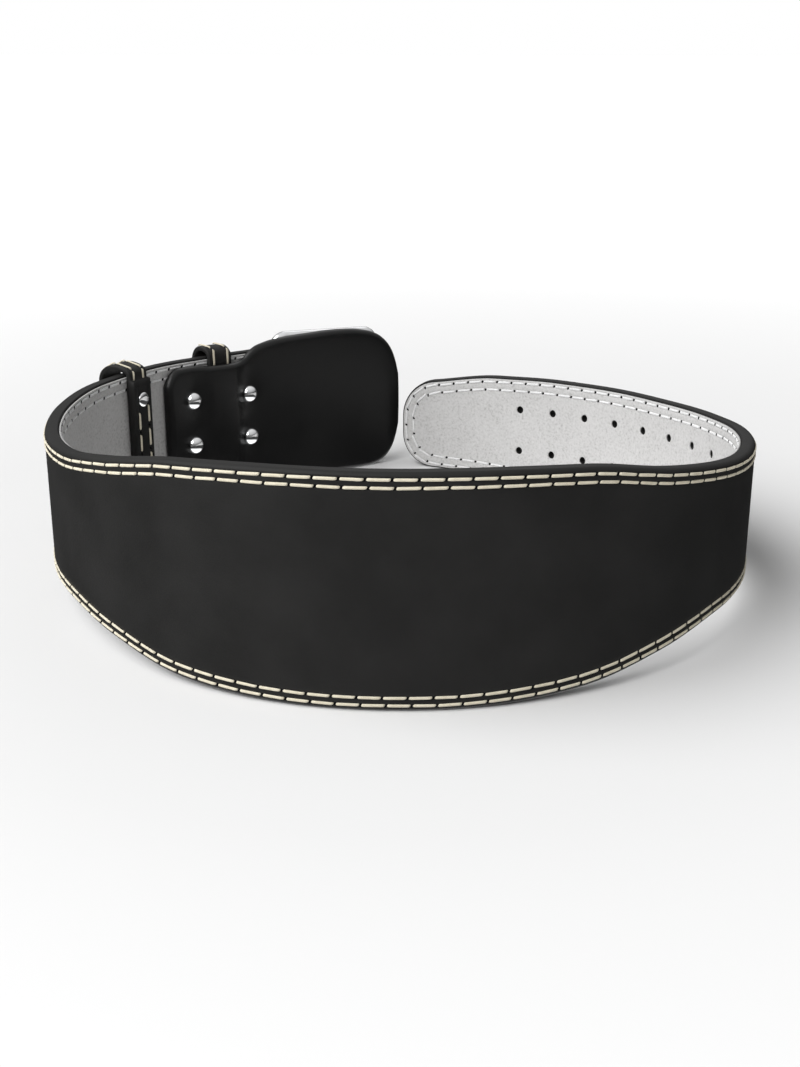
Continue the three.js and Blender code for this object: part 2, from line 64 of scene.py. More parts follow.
# The strap's course. at: share of armLength from the middle of the back. Turns in degrees
# on each arm, heights and clearances above the floor as shares of backHeight.
courseColumns = ["at", "buckleTurn", "tongueTurn", "buckleHeight", "tongueHeight",
                 "buckleClear", "tongueClear"]
courseRows = [
    (0, 0, 0, 1, 1, 0, 0),
    (0.04, 7, 6.5, 1, 1, 0, 0),
    (0.08, 14.5, 14, 0.994, 0.994, 0.003, 0.003),
    (0.16, 29.5, 28, 0.948, 0.948, 0.023, 0.026),
    (0.24, 43.5, 42, 0.81, 0.81, 0.091, 0.09),
    (0.32, 57.5, 57, 0.7, 0.696, 0.136, 0.139),
    (0.4, 72, 74, 0.68, 0.656, 0.132, 0.139),
    (0.48, 90, 91.5, 0.67, 0.643, 0.158, 0.123),
    (0.56, 108.5, 106.5, 0.66, 0.634, 0.187, 0.093),
    (0.64, 120.5, 119.5, 0.67, 0.634, 0.178, 0.062),
    (0.72, 129.5, 131.5, 0.715, 0.64, 0.119, 0.037),
    (0.8, 137, 142.5, 0.728, 0.643, 0.094, 0.013),
    (0.88, 142, 151, 0.685, 0.627, 0.102, 0),
    (0.96, 148, 159, 0.685, 0.558, 0.07, 0),
    (1, 153, 163.5, 0.685, 0.525, 0.054, 0),
]
courseStep = 2 * mm
courseSteps = math.ceil(belt["armLength"] * 1.05 / courseStep)


def readRows(rows, column, at):
    # Smooth value of a column with no overshoot between its rows
    table = np.array(rows, float)
    places = table[:, 0]
    values = table[:, column]
    slopes = np.diff(values) / np.diff(places)
    before = slopes[:-1]
    after = slopes[1:]
    both = np.where(before * after > 0, before + after, 1)
    tangents = np.concatenate([
        slopes[:1], np.where(before * after > 0, 2 * before * after / both, 0), slopes[-1:]])
    at = np.clip(at, places[0], places[-1])
    i = np.clip(np.searchsorted(places, at) - 1, 0, len(places) - 2)
    span = places[i + 1] - places[i]
    t = (at - places[i]) / span
    keep = 2 * t ** 3 - 3 * t ** 2 + 1
    return (keep * values[i] + (1 - keep) * values[i + 1]
            + span * (t ** 3 - 2 * t ** 2 + t) * tangents[i]
            + span * (t ** 3 - t ** 2) * tangents[i + 1])


def readCourse(name, along):
    # The course's value on the arm that each place lies on
    share = np.abs(along) / belt["armLength"]
    onBuckle = readRows(courseRows, courseColumns.index("buckle" + name), share)
    onTongue = readRows(courseRows, courseColumns.index("tongue" + name), share)
    return np.where(np.asarray(along) < 0, onBuckle, onTongue)


def heading(along):
    return np.radians(np.where(np.asarray(along) < 0, -1, 1) * readCourse("Turn", along))


def walkArm(side):
    turned = heading(side * (np.arange(courseSteps) + 0.5) * courseStep)
    steps = np.stack([np.cos(turned), np.sin(turned)], 1) * side * courseStep
    return np.concatenate([[[0, 0]], np.cumsum(steps, 0)])


buckleArm = walkArm(-1)
tongueArm = walkArm(1)


def strapHalf(along):
    return belt["backHeight"] * readCourse("Height", along) / 2


def outward(along):
    # The direction away from the wearer
    turned = heading(along)
    return np.stack([np.sin(turned), -np.cos(turned), np.zeros_like(turned)], -1)


def onStrap(along, up, out):
    # Points at places on the strap. The floor presses flat what would reach below it.
    along, up, out = np.broadcast_arrays(np.asarray(along, float), up, out)
    steps = np.abs(along) / courseStep
    i = np.minimum(steps.astype(int), courseSteps - 1)
    buckleSide = (along < 0)[..., None]
    start = np.where(buckleSide, buckleArm[i], tongueArm[i])
    end = np.where(buckleSide, buckleArm[i + 1], tongueArm[i + 1])
    middle = start + (end - start) * (steps - i)[..., None] + np.array(belt["backAt"])
    height = belt["backHeight"] * readCourse("Clear", along) + strapHalf(along) + up
    level = np.concatenate([middle, np.maximum(height, 0)[..., None]], -1)
    return level + outward(along) * out[..., None]


def gridFaces(grid, skipped=()):
    # Quads over rows of point numbers, without those at the skipped (row, place)
    return [(grid[i][k], grid[i + 1][k], grid[i + 1][k + 1], grid[i][k + 1])
            for i in range(len(grid) - 1) for k in range(len(grid[i]) - 1)
            if (i, k) not in skipped]


def makePiece(name, points, faces, finish, flat=None, shown=True):
    # A smooth mesh from points and faces. flat: each point's place on its UV map.
    mesh = bpy.data.meshes.new(name)
    mesh.from_pydata([tuple(p) for p in points], [], faces)
    if flat is not None:
        layer = mesh.uv_layers.new(name="flat")
        corners = np.zeros(len(mesh.loops), int)
        mesh.loops.foreach_get("vertex_index", corners)
        layer.data.foreach_set("uv", np.asarray(flat, float)[corners].ravel())
    shape = bmesh.new()
    shape.from_mesh(mesh)
    bmesh.ops.recalc_face_normals(shape, faces=shape.faces)
    shape.to_mesh(mesh)
    shape.free()
    mesh.polygons.foreach_set("use_smooth", [True] * len(mesh.polygons))
    mesh.materials.append(finish)
    piece = bpy.data.objects.new(name, mesh)
    if shown:
        bpy.context.scene.collection.objects.link(piece)
    return piece


def strapPiece(name, places, faces, finish):
    # A piece whose points are given as places on the strap
    places = np.array(places)
    return makePiece(name, onStrap(*places.T), faces, finish, places[:, :2])


def bakedMesh(piece):
    # The piece's mesh with its modifiers' work in it
    bpy.context.view_layer.update()
    evaluated = piece.evaluated_get(bpy.context.evaluated_depsgraph_get())
    return bpy.data.meshes.new_from_object(evaluated)


def roundTurn(sides):
    # The cosine and sine of even steps round a circle
    return [(math.cos(math.tau * k / sides), math.sin(math.tau * k / sides))
            for k in range(sides)]


def ringFaces(ringCount, pointCount, loop=False):
    # Quads between rings of points, with flat ends unless the rings close on themselves
    faces = []
    joins = ringCount if loop else ringCount - 1
    for i in range(joins):
        here = i * pointCount
        after = (i + 1) % ringCount * pointCount
        for k in range(pointCount):
            m = (k + 1) % pointCount
            faces.append((here + k, here + m, after + m, after + k))
    if not loop:
        faces += [tuple(range(first, first + pointCount))
                  for first in (0, (ringCount - 1) * pointCount)]
    return faces


def finishPiece(piece, body, slot, *nodes):
    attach(piece, body)
    if nodes:
        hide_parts(*nodes)


# Finishes

def newFinish(name):
    finish = bpy.data.materials.new(name)
    finish.use_nodes = True
    return finish, finish.node_tree, finish.node_tree.nodes["Principled BSDF"]


def setInputs(node, **values):
    # Plain values by input name, with _ for a space
    for name, value in values.items():
        node.inputs[name.replace("_", " ")].default_value = value


def addNode(tree, kind, links=None, **values):
    # A node with plain values by input or setting name, and links by input name or number
    node = tree.nodes.new(kind)
    for name, value in values.items():
        if name in node.inputs:
            node.inputs[name].default_value = value
        else:
            setattr(node, name, value)
    for name, socket in (links or {}).items():
        tree.links.new(socket, node.inputs[name])
    return node


def feed(tree, node, **links):
    # Links into a node's inputs by name, with _ for a space
    for name, socket in links.items():
        tree.links.new(socket, node.inputs[name.replace("_", " ")])


def mathNode(tree, operation, first, second):
    node = tree.nodes.new("ShaderNodeMath")
    node.operation = operation
    for i, value in enumerate((first, second)):
        if isinstance(value, (int, float)):
            node.inputs[i].default_value = value
        else:
            tree.links.new(value, node.inputs[i])
    return node.outputs[0]


def rampNode(tree, factor, stops):
    ramp = tree.nodes.new("ShaderNodeValToRGB")
    tree.links.new(factor, ramp.inputs["Fac"])
    elements = ramp.color_ramp.elements
    while len(elements) < len(stops):
        elements.new(0.5)
    for element, (place, colour) in zip(elements, stops):
        element.position = place
        element.color = (*colour, 1)
    return ramp.outputs["Color"]


def rangeNode(tree, value, low, high, fromLow=0.3, fromHigh=0.7):
    node = addNode(tree, "ShaderNodeMapRange", {"Value": value})
    setInputs(node, From_Min=fromLow, From_Max=fromHigh, To_Min=low, To_Max=high)
    return node.outputs["Result"]


def bumpNode(tree, height, strength, distance):
    node = addNode(tree, "ShaderNodeBump", {"Height": height}, Strength=strength,
                   Distance=distance)
    return node.outputs["Normal"]


def leatherFinish(name, look):
    finish, tree, shader = newFinish(name)
    place = tree.nodes.new("ShaderNodeTexCoord").outputs["Object"]
    pebble = addNode(tree, "ShaderNodeTexVoronoi", {"Vector": place}, Scale=1 / look["grain"])
    fine = addNode(tree, "ShaderNodeTexNoise", {"Vector": place},
                   Scale=2.5 / look["grain"], Detail=4.0)
    cloudy = addNode(tree, "ShaderNodeTexNoise", {"Vector": place}, Scale=26.0, Detail=5.0)
    stretched = addNode(tree, "ShaderNodeMapping", {"Vector": place}, Scale=(60, 60, 900),
                        Rotation=(0.5, 0.3, 0.2))
    scratch = addNode(tree, "ShaderNodeTexNoise", {"Vector": stretched.outputs["Vector"]},
                      Scale=1.0, Detail=3.0)
    marks = rangeNode(tree, scratch.outputs["Fac"], 0.0, 1.0, 0.62, 0.74)
    colour = rampNode(tree, cloudy.outputs["Fac"], [(0.35, look["colour"]), (0.68, look["paler"])])
    worn = addNode(tree, "ShaderNodeMix", data_type="RGBA")
    feed(tree, worn, Factor=mathNode(tree, "MULTIPLY", marks, look["scratches"]), A=colour)
    worn.inputs["B"].default_value = (*look["scratch"], 1)
    grain = mathNode(tree, "ADD", pebble.outputs["Distance"],
                     mathNode(tree, "MULTIPLY", fine.outputs["Fac"], 0.6))
    feed(tree, shader, Base_Color=worn.outputs["Result"],
         Roughness=rangeNode(tree, cloudy.outputs["Fac"], *look["roughness"]),
         Normal=bumpNode(tree, grain, look["bump"], look["depth"]))
    shader.inputs["Specular IOR Level"].default_value = look["shine"]
    return finish


def suedeFinish(name, look):
    finish, tree, shader = newFinish(name)
    place = tree.nodes.new("ShaderNodeTexCoord").outputs["Object"]
    fibre = addNode(tree, "ShaderNodeTexNoise", {"Vector": place}, Scale=1900.0, Detail=3.0)
    speck = addNode(tree, "ShaderNodeTexNoise", {"Vector": place}, Scale=700.0, Detail=2.0)
    cloudy = addNode(tree, "ShaderNodeTexNoise", {"Vector": place}, Scale=70.0, Detail=5.0)
    tone = mathNode(tree, "ADD", mathNode(tree, "MULTIPLY", cloudy.outputs["Fac"], 0.2),
                    mathNode(tree, "MULTIPLY", speck.outputs["Fac"], 0.8))
    tones = [(0.3, look["dark"]), (0.44, look["colour"]), (0.66, look["pale"])]
    nap = mathNode(tree, "ADD", fibre.outputs["Fac"], speck.outputs["Fac"])
    feed(tree, shader, Base_Color=rampNode(tree, tone, tones),
         Normal=bumpNode(tree, nap, 0.35, 0.25 * mm),
         Roughness=rangeNode(tree, speck.outputs["Fac"], 0.86, 1.0))
    setInputs(shader, Sheen_Weight=0.05, Sheen_Roughness=0.5, Specular_IOR_Level=0.15)
    return finish


def threadFinish(name, look):
    # Twisted thread: slanted bands round each stitch, on its own UV map. The bands' darker colour
    # in the twist's grooves is painted shade; the fuzz adds a random tone.
    finish, tree, shader = newFinish(name)
    strand = tree.nodes.new("ShaderNodeUVMap")
    strand.uv_map = "flat"
    slanted = addNode(tree, "ShaderNodeMapping", {"Vector": strand.outputs["UV"]},
                      Rotation=(0, 0, math.radians(look["twist"])))
    ply = addNode(tree, "ShaderNodeTexWave", {"Vector": slanted.outputs["Vector"]},
                  Scale=look["plies"], Distortion=0.8, Detail=1.0)
    place = tree.nodes.new("ShaderNodeTexCoord").outputs["Object"]
    fuzz = addNode(tree, "ShaderNodeTexNoise", {"Vector": place}, Scale=420.0, Detail=3.0)
    tone = mathNode(tree, "ADD", mathNode(tree, "MULTIPLY", ply.outputs["Fac"], 0.5),
                    mathNode(tree, "MULTIPLY", fuzz.outputs["Fac"], 0.5))
    # dark: painted shade in the grooves between the plies
    tones = [(0.2, look["dark"]), (0.55, look["colour"])]
    feed(tree, shader, Base_Color=rampNode(tree, tone, tones),
         Normal=bumpNode(tree, ply.outputs["Fac"], 0.5, 0.2 * mm),
         Roughness=rangeNode(tree, fuzz.outputs["Fac"], 0.55, 0.75))
    return finish


def chromeFinish(name, look):
    finish, tree, shader = newFinish(name)
    place = tree.nodes.new("ShaderNodeTexCoord").outputs["Object"]
    smear = addNode(tree, "ShaderNodeTexNoise", {"Vector": place}, Scale=160.0, Detail=4.0)
    ripple = addNode(tree, "ShaderNodeTexNoise", {"Vector": place}, Scale=90.0, Detail=1.0)
    tones = [(0.3, look["dark"]), (0.7, look["pale"])]
    feed(tree, shader, Roughness=rangeNode(tree, smear.outputs["Fac"], *look["roughness"]),
         Base_Color=rampNode(tree, smear.outputs["Fac"], tones),
         Normal=bumpNode(tree, ripple.outputs["Fac"], 0.04, 0.2 * mm))
    shader.inputs["Metallic"].default_value = 1
    return finish


strapLeather = leatherFinish("strapLeather", {
    "colour": (0.0165, 0.0163, 0.016), "paler": (0.021, 0.0207, 0.0203),
    "scratch": (0.03, 0.03, 0.03), "scratches": 0.05, "roughness": (0.42, 0.56),
    "grain": 0.9 * mm, "bump": 0.22, "depth": 0.2 * mm, "shine": 0.1,
})
guardLeather = leatherFinish("guardLeather", {
    "colour": (0.0056, 0.0056, 0.0058), "paler": (0.0074, 0.0074, 0.0074),
    "scratch": (0.03, 0.03, 0.03), "scratches": 0.0, "roughness": (0.3, 0.38),
    "grain": 0.8 * mm, "bump": 0.1, "depth": 0.15 * mm, "shine": 0.28,
})
suede = suedeFinish("suede", {
    "dark": (0.38, 0.375, 0.37), "colour": (0.49, 0.485, 0.48), "pale": (0.55, 0.545, 0.54)})
creamThread = threadFinish("creamThread", {
    "dark": (0.5, 0.44, 0.31), "colour": (0.83, 0.775, 0.63), "plies": 0.9, "twist": 35})
greyThread = threadFinish("greyThread", {
    "dark": (0.5, 0.5, 0.5), "colour": (0.85, 0.85, 0.85), "plies": 0.9, "twist": 35})
# Near-black finish of the needle holes between stitches: painted shade
paintedHoleShade = leatherFinish("paintedHoleShade", {
    "colour": (0.002, 0.002, 0.002), "paler": (0.004, 0.004, 0.004),
    "scratch": (0.01, 0.01, 0.01), "scratches": 0.0, "roughness": (0.8, 0.95),
    "grain": 0.5 * mm, "bump": 0.1, "depth": 0.1 * mm, "shine": 0.05,
})
chrome = chromeFinish("chrome", {
    "dark": (0.8, 0.81, 0.82), "pale": (0.9, 0.905, 0.91), "roughness": (0.02, 0.08)})
print("finishes made")


# The strap: leather outside, suede inside

holes = {
    "pairs": 11,
    "spacing": 25 * mm,
    "rows": 27.4 * mm,
    "fromTip": 87.5 * mm,
    "radius": 2.4 * mm,
    "block": 6 * mm,  # half the square of mesh that each hole is set into
}
blockCells = 6
outerCells = 6
middleCells = 6
sideCells = blockCells + outerCells
tipSteps = 12


def strapColumns():
    # Places along the strap where the mesh has a column, and the first column of each hole
    columns = []
    firstHole = belt["armLength"] - holes["fromTip"]
    starts = sorted(firstHole - i * holes["spacing"] - holes["block"]
                    for i in range(holes["pairs"]))

    def fill(start, end, spacing):
        count = max(round((end - start) / spacing), 1)
        columns.extend(np.linspace(start, end, count + 1)[:-1])

    at = -belt["buckleEnd"]
    blocks = []
    for start in starts:
        fill(at, start, 2.8 * mm)
        blocks.append(len(columns))
        fill(start, start + 2 * holes["block"], 2 * mm)
        at = start + 2 * holes["block"]
    tipAt = belt["armLength"] - belt["tongueCorner"]
    fill(at, tipAt, 2.8 * mm)
    columns.append(tipAt)
    return np.array(columns), blocks


columns, holeBlocks = strapColumns()
halves = strapHalf(columns)
tipAt = columns[-1]
endHalf = halves[-1] - belt["tongueCorner"]


def strapOutline():
    # Rows of (along, up, outward along, outward up) from the buckle end, round the tongue's
    # tip and back along the top
    corner = belt["tongueCorner"]
    rows = [(a, -h, 0, -1) for a, h in zip(columns, halves)]
    for i in range(1, tipSteps + 1):
        angle = math.radians(90 * (i / tipSteps - 1))
        c, s = math.cos(angle), math.sin(angle)
        rows.append((tipAt + corner * c, -endHalf + corner * s, c, s))
    for i in range(1, middleCells + 1):
        rows.append((tipAt + corner, endHalf * (2 * i / middleCells - 1), 1, 0))
    for i in range(1, tipSteps):
        angle = math.radians(90 * i / tipSteps)
        c, s = math.cos(angle), math.sin(angle)
        rows.append((tipAt + corner * c, endHalf + corner * s, c, s))
    rows += [(a, h, 0, 1) for a, h in zip(columns[::-1], halves[::-1])]
    return np.array(rows)


outline = strapOutline()


def smoothShare(value):
    value = min(max(value, 0), 1)
    return value * value * (3 - 2 * value)


def lineUps(i, reach):
    # Heights of the mesh's lines in a column, between the two stitched margins
    top = halves[i] - reach
    low = holes["rows"] / 2 - holes["block"]
    high = holes["rows"] / 2 + holes["block"]
    lastHole = belt["armLength"] - holes["fromTip"] + holes["block"]
    tip = smoothShare((columns[i] - lastHole) / (tipAt - lastHole))
    middle = np.linspace(-1, 1, middleCells + 1) * (low + (endHalf - low) * tip)
    block = low + (high - low) * np.arange(1, blockCells + 1) / blockCells
    outer = high + (top - high) * np.arange(1, outerCells + 1) / outerCells
    atHoles = np.concatenate([block, outer])
    atTip = endHalf + (top - endHalf) * np.arange(1, sideCells + 1) / sideCells
    side = atHoles + (atTip - atHoles) * tip
    return np.concatenate([-side[::-1], middle, side])


def strapLayer(name, profile, rim, finish):
    # profile: rows of (distance from the outline, out) over the margin in front, round the
    # edge and over the margin behind. rim: rows of (distance, drop) round each hole.
    places = []

    def add(along, up, out):
        places.append((along, up, out))
        return len(places) - 1

    reach = profile[0][0]
    frontOut = profile[0][1]
    backOut = profile[-1][1]
    band = [[add(a - na * d, u - nu * d, out) for d, out in profile]
            for a, u, na, nu in outline]
    faces = gridFaces(band)
    last = len(columns) - 1
    sheets = []
    for out, edge in ((frontOut, 0), (backOut, len(profile) - 1)):
        grid = []
        for i, along in enumerate(columns):
            ups = lineUps(i, reach)
            line = [add(along, up, out) for up in ups[1:-1]]
            grid.append([band[i][edge]] + line + [band[len(outline) - 1 - i][edge]])
        sheets.append(grid)
        lows = (sideCells - blockCells, sideCells + middleCells)
        skipped = {(i + x, j + y) for i in holeBlocks for j in lows
                   for x in range(blockCells) for y in range(blockCells)}
        faces += gridFaces(grid, skipped)
        # The rounded tip: spokes from the last column out to the margin
        spokes = 2 * tipSteps + middleCells
        tip = []
        for q in range(spokes + 1):
            row = []
            across = min(max(q - tipSteps, 0), middleCells)
            base = lineUps(last, reach)[sideCells + across]
            na, nu = outline[last + q][2:]
            spokeLength = belt["tongueCorner"] - reach
            for k in range(sideCells + 1):
                if k == sideCells:
                    row.append(band[last + q][edge])
                elif q == 0:
                    row.append(grid[last][sideCells - k])
                elif q == spokes:
                    row.append(grid[last][sideCells + middleCells + k])
                elif k == 0:
                    row.append(grid[last][sideCells + across])
                else:
                    r = spokeLength * k / sideCells
                    row.append(add(tipAt + na * r, base + nu * r, out))
            tip.append(row)
        for q in range(spokes):
            for k in range(sideCells):
                corners = (tip[q][k], tip[q + 1][k], tip[q + 1][k + 1], tip[q][k + 1])
                face = tuple(dict.fromkeys(corners))
                if len(face) > 2:
                    faces.append(face)
    # The holes
    toBack = math.copysign(1, backOut - frontOut)
    sides = 4 * blockCells
    for i in holeBlocks:
        for j in lows:
            centre = columns[i] + holes["block"]
            middle = math.copysign(holes["rows"] / 2, j - lows[1] + 0.5)
            n = blockCells
            edges = [(i + n - x, j + n) for x in range(n)] + [(i, j + n - y) for y in range(n)]
            edges += [(i + x, j) for x in range(n)] + [(i + n, j + y) for y in range(n)]
            rings = [[sheets[0][x][y] for x, y in edges]]
            rows = [(d, frontOut + toBack * drop) for d, drop in rim]
            rows += [(d, backOut - toBack * drop) for d, drop in reversed(rim)]
            for d, out in rows:
                radius = holes["radius"] + d
                turns = [math.radians(45) + math.tau * k / sides for k in range(sides)]
                rings.append([add(centre + radius * math.cos(t), middle + radius * math.sin(t), out)
                              for t in turns])
            rings.append([sheets[1][x][y] for x, y in edges])
            for inner, outer in zip(rings[:-1], rings[1:]):
                for k in range(sides):
                    m = (k + 1) % sides
                    faces.append((inner[k], inner[m], outer[m], outer[k]))
    # The cut end under the buckle's leather
    faces.append(tuple([*band[0], *sheets[1][0][1:-1], *reversed(band[-1]),
                        *reversed(sheets[0][0][1:-1])]))
    return strapPiece(name, places, faces, finish)


leatherLook = {
    "rounding": 2.6 * mm,
    "backRounding": 0.8 * mm,
    "stitchRows": (3.0 * mm, 6.6 * mm),
    "rowStarts": ((5.5 * mm, 8 * mm), (3.75 * mm, 9.25 * mm)),  # below and above, from the end
    "dip": 0.32 * mm,
    "margin": 10 * mm,
    "rim": ((1.8 * mm, 0), (0.7 * mm, 0), (0.25 * mm, 0.1 * mm), (0, 0.45 * mm)),
}
liningLook = {
    "inset": 1.2 * mm,
    "rounding": 0.3 * mm,
    "stitchRows": (3.2 * mm, 8.4 * mm),
    "rowStarts": ((9.3 * mm, 2.2 * mm), (2.7 * mm, 7.6 * mm)),
    "dip": 0.3 * mm,
    "rim": ((1.8 * mm, 0), (0.5 * mm, 0), (0.1 * mm, 0.08 * mm), (0, 0.25 * mm)),
}


def marginRows(look, face, toBack, edge):
    # (distance from the outline, out) across the stitched margin, with a dip at each row
    nearRow, farRow = look["stitchRows"]
    rows = [(leatherLook["margin"], face)]
    for row in (farRow, nearRow):
        for side, depth in ((0.8, 0), (0.4, 0.5), (0, 1), (-0.4, 0.5)):
            at = row + side * mm
            if at > edge:
                rows.append((at, face + toBack * look["dip"] * depth))
        if row == farRow:
            rows.append((row - 0.8 * mm, face))
            rows.append(((farRow + nearRow) / 2, face - toBack * look["dip"] * 0.3))
    return rows


def quarterTurn(radius, face, toBack, start, inset=0.0, steps=6):
    # Rounds the layer's edge from its face to its side, or from side to face when start is 1
    rows = []
    for i in range(steps + 1):
        angle = math.radians(90 * (i / steps if start == 0 else 1 - i / steps))
        rows.append((inset + radius * (1 - math.sin(angle)),
                     face + toBack * radius * (1 - math.cos(angle))))
    return rows


leatherProfile = (
    marginRows(leatherLook, outerFace, -1, leatherLook["rounding"])
    + quarterTurn(leatherLook["rounding"], outerFace, -1, 0)[1:]
    + quarterTurn(leatherLook["backRounding"], leatherBack, 1, 1, steps=3)
    + [(leatherLook["margin"], leatherBack)])
liningProfile = (
    marginRows(liningLook, innerFace, 1, liningLook["inset"] + liningLook["rounding"])
    + quarterTurn(liningLook["rounding"], innerFace, 1, 0, liningLook["inset"], 3)
    + [(liningLook["inset"], innerFace + belt["lining"] - 0.1 * mm),
       (leatherLook["margin"], innerFace + belt["lining"])])
leather = strapLayer("leather", leatherProfile, leatherLook["rim"], strapLeather)
lining = strapLayer("suedeLining", liningProfile, liningLook["rim"], suede)
finishPiece(leather, "belt", "leather", "belt_body")
finishPiece(lining, "belt", "suede", "lining")
print("strap made")


# Stitches: one thread, or one dark blob of painted shade for a needle hole, laid out along each row
# by Geometry Nodes

stitches = {
    "pitch": 11.06 * mm,
    "insidePitch": 10.7 * mm,
    "length": 10.35 * mm,
    "width": 1.42 * mm,
    "height": 0.95 * mm,
    "sink": 0.1 * mm,
    "lean": 0.35,  # how far each end slants, as a share of the width
    "uneven": 0.02,
    "seed": 7,
}


def threadMesh(name, look, finish):
    # One stitch along X, its ends pulled down into the leather
    stations = 14
    sides = 10
    points = []
    flat = []
    for i in range(stations):
        s = -math.cos(math.pi * i / (stations - 1))
        bluntness = abs(s) ** 14
        girth = max(1 - bluntness, 0.0) ** 0.5 * 0.7 + 0.3
        drop = look["sink"] + look["height"] * 0.6 * bluntness
        for k, (cosine, sine) in enumerate(roundTurn(sides)):
            across = look["width"] / 2 * girth * cosine
            points.append((s * look["length"] / 2 + across * look["lean"], across,
                           look["height"] * girth * (sine + 1) / 2 - drop))
            flat.append((s * look["length"] / 2 / mm,
                         math.tau * k / sides * look["width"] / 2 / mm))
    return makePiece(name, points, ringFaces(stations, sides), finish, flat, shown=False)


def holeShadeMesh(name, look):
    # A slanted dark blob between two stitches: painted shade standing in for the needle's hole
    sides = 10
    rings = ((0.02, 1.0), (0.6, 0.8), (0.98, 0.1), (0.6, -0.6))
    points = [(look["length"] / 2 * radius * c, look["width"] / 2 * radius * s,
               look["height"] * level) for radius, level in rings for c, s in roundTurn(sides)]
    return makePiece(name, points, ringFaces(len(rings), sides), paintedHoleShade, shown=False)


def newTree(name, inputs):
    # A Geometry Nodes tree and its inputs' sockets. inputs: kind of socket by name.
    tree = bpy.data.node_groups.new(name, "GeometryNodeTree")
    for label, kind in inputs.items():
        tree.interface.new_socket(label, in_out="INPUT", socket_type="NodeSocket" + kind)
    tree.interface.new_socket("Result", in_out="OUTPUT", socket_type="NodeSocketGeometry")
    return tree, tree.nodes.new("NodeGroupInput").outputs


def endTree(tree, instances, finish):
    # Makes the instances real, gives them their finish and sends them out
    real = addNode(tree, "GeometryNodeRealizeInstances", {"Geometry": instances})
    dressed = addNode(tree, "GeometryNodeSetMaterial",
                      {"Geometry": real.outputs["Geometry"], "Material": finish})
    addNode(tree, "NodeGroupOutput", {"Result": dressed.outputs["Geometry"]})
    return tree


def awayField(tree):
    # The direction away from the surface that each point carries
    away = addNode(tree, "GeometryNodeInputNamedAttribute", data_type="FLOAT_VECTOR")
    away.inputs["Name"].default_value = "away"
    return away.outputs["Attribute"]


def placedPieces(tree, points, piece, turn, links=None):
    source = addNode(tree, "GeometryNodeObjectInfo", {"Object": piece})
    placed = addNode(tree, "GeometryNodeInstanceOnPoints", {
        "Points": points, "Instance": source.outputs["Geometry"], "Rotation": turn,
        **(links or {})})
    return placed.outputs["Instances"]


def pathTree():
    # Geometry Nodes: a piece at even steps along a path, standing on the path's "away"
    tree, given = newTree("placeAlongPath", {
        "Path": "Geometry", "Piece": "Object", "Pitch": "Float", "Between": "Float",
        "Slant": "Float", "Uneven": "Float", "Seed": "Int", "Finish": "Material"})
    curve = addNode(tree, "GeometryNodeMeshToCurve", {"Mesh": given["Path"]})
    even = addNode(tree, "GeometryNodeResampleCurve",
                   {"Curve": curve.outputs["Curve"], "Length": given["Pitch"]}, mode="LENGTH")
    # Each point but the last moves towards the next one by the share Between
    index = tree.nodes.new("GeometryNodeInputIndex").outputs[0]
    position = tree.nodes.new("GeometryNodeInputPosition").outputs[0]
    ahead = addNode(tree, "GeometryNodeFieldAtIndex", data_type="FLOAT_VECTOR", domain="POINT")
    feed(tree, ahead, Value=position, Index=mathNode(tree, "ADD", index, 1.0))
    step = addNode(tree, "ShaderNodeVectorMath", {0: ahead.outputs[0], 1: position},
                   operation="SUBTRACT")
    share = addNode(tree, "ShaderNodeVectorMath", {0: step.outputs[0]}, operation="SCALE")
    feed(tree, share, Scale=given["Between"])
    isLast = addNode(tree, "GeometryNodeCurveEndpointSelection", **{"Start Size": 0, "End Size": 1})
    others = addNode(tree, "FunctionNodeBooleanMath", {0: isLast.outputs[0]},
                     operation="NOT").outputs[0]
    moved = addNode(tree, "GeometryNodeSetPosition", {
        "Geometry": even.outputs["Curve"], "Offset": share.outputs[0], "Selection": others})
    # Z away from the surface, X along the path
    tangent = tree.nodes.new("GeometryNodeInputTangent").outputs[0]
    turn = addNode(tree, "FunctionNodeAxesToRotation", primary_axis="Z", secondary_axis="X")
    feed(tree, turn, Primary_Axis=awayField(tree), Secondary_Axis=tangent)
    placed = placedPieces(tree, moved.outputs["Geometry"], given["Piece"], turn.outputs[0],
                          {"Selection": others})
    # A little unevenness in turn and size
    wander = addNode(tree, "FunctionNodeRandomValue", {"Seed": given["Seed"]}, data_type="FLOAT")
    wander.inputs[2].default_value = -1
    wander.inputs[3].default_value = 1
    uneven = mathNode(tree, "MULTIPLY", wander.outputs[1], given["Uneven"])
    spin = addNode(tree, "ShaderNodeCombineXYZ",
                   {"Z": mathNode(tree, "ADD", uneven, given["Slant"])})
    turned = addNode(tree, "GeometryNodeRotateInstances",
                     {"Instances": placed, "Rotation": spin.outputs[0]})
    sized = addNode(tree, "GeometryNodeScaleInstances", {
        "Instances": turned.outputs["Instances"], "Scale": mathNode(tree, "ADD", uneven, 1.0)})
    return endTree(tree, sized.outputs["Instances"], given["Finish"])


alongPath = pathTree()


def runTree(name, source, tree, **values):
    # Evaluates the tree on the source object and keeps the result as a plain mesh
    modifier = source.modifiers.new("make", "NODES")
    modifier.node_group = tree
    for socket in tree.interface.items_tree:
        if socket.in_out == "INPUT" and socket.name in values:
            modifier[socket.identifier] = values[socket.name]
    mesh = bakedMesh(source)
    source.modifiers.remove(modifier)
    bpy.data.objects.remove(source)
    mesh.name = name
    piece = bpy.data.objects.new(name, mesh)
    bpy.context.scene.collection.objects.link(piece)
    return piece


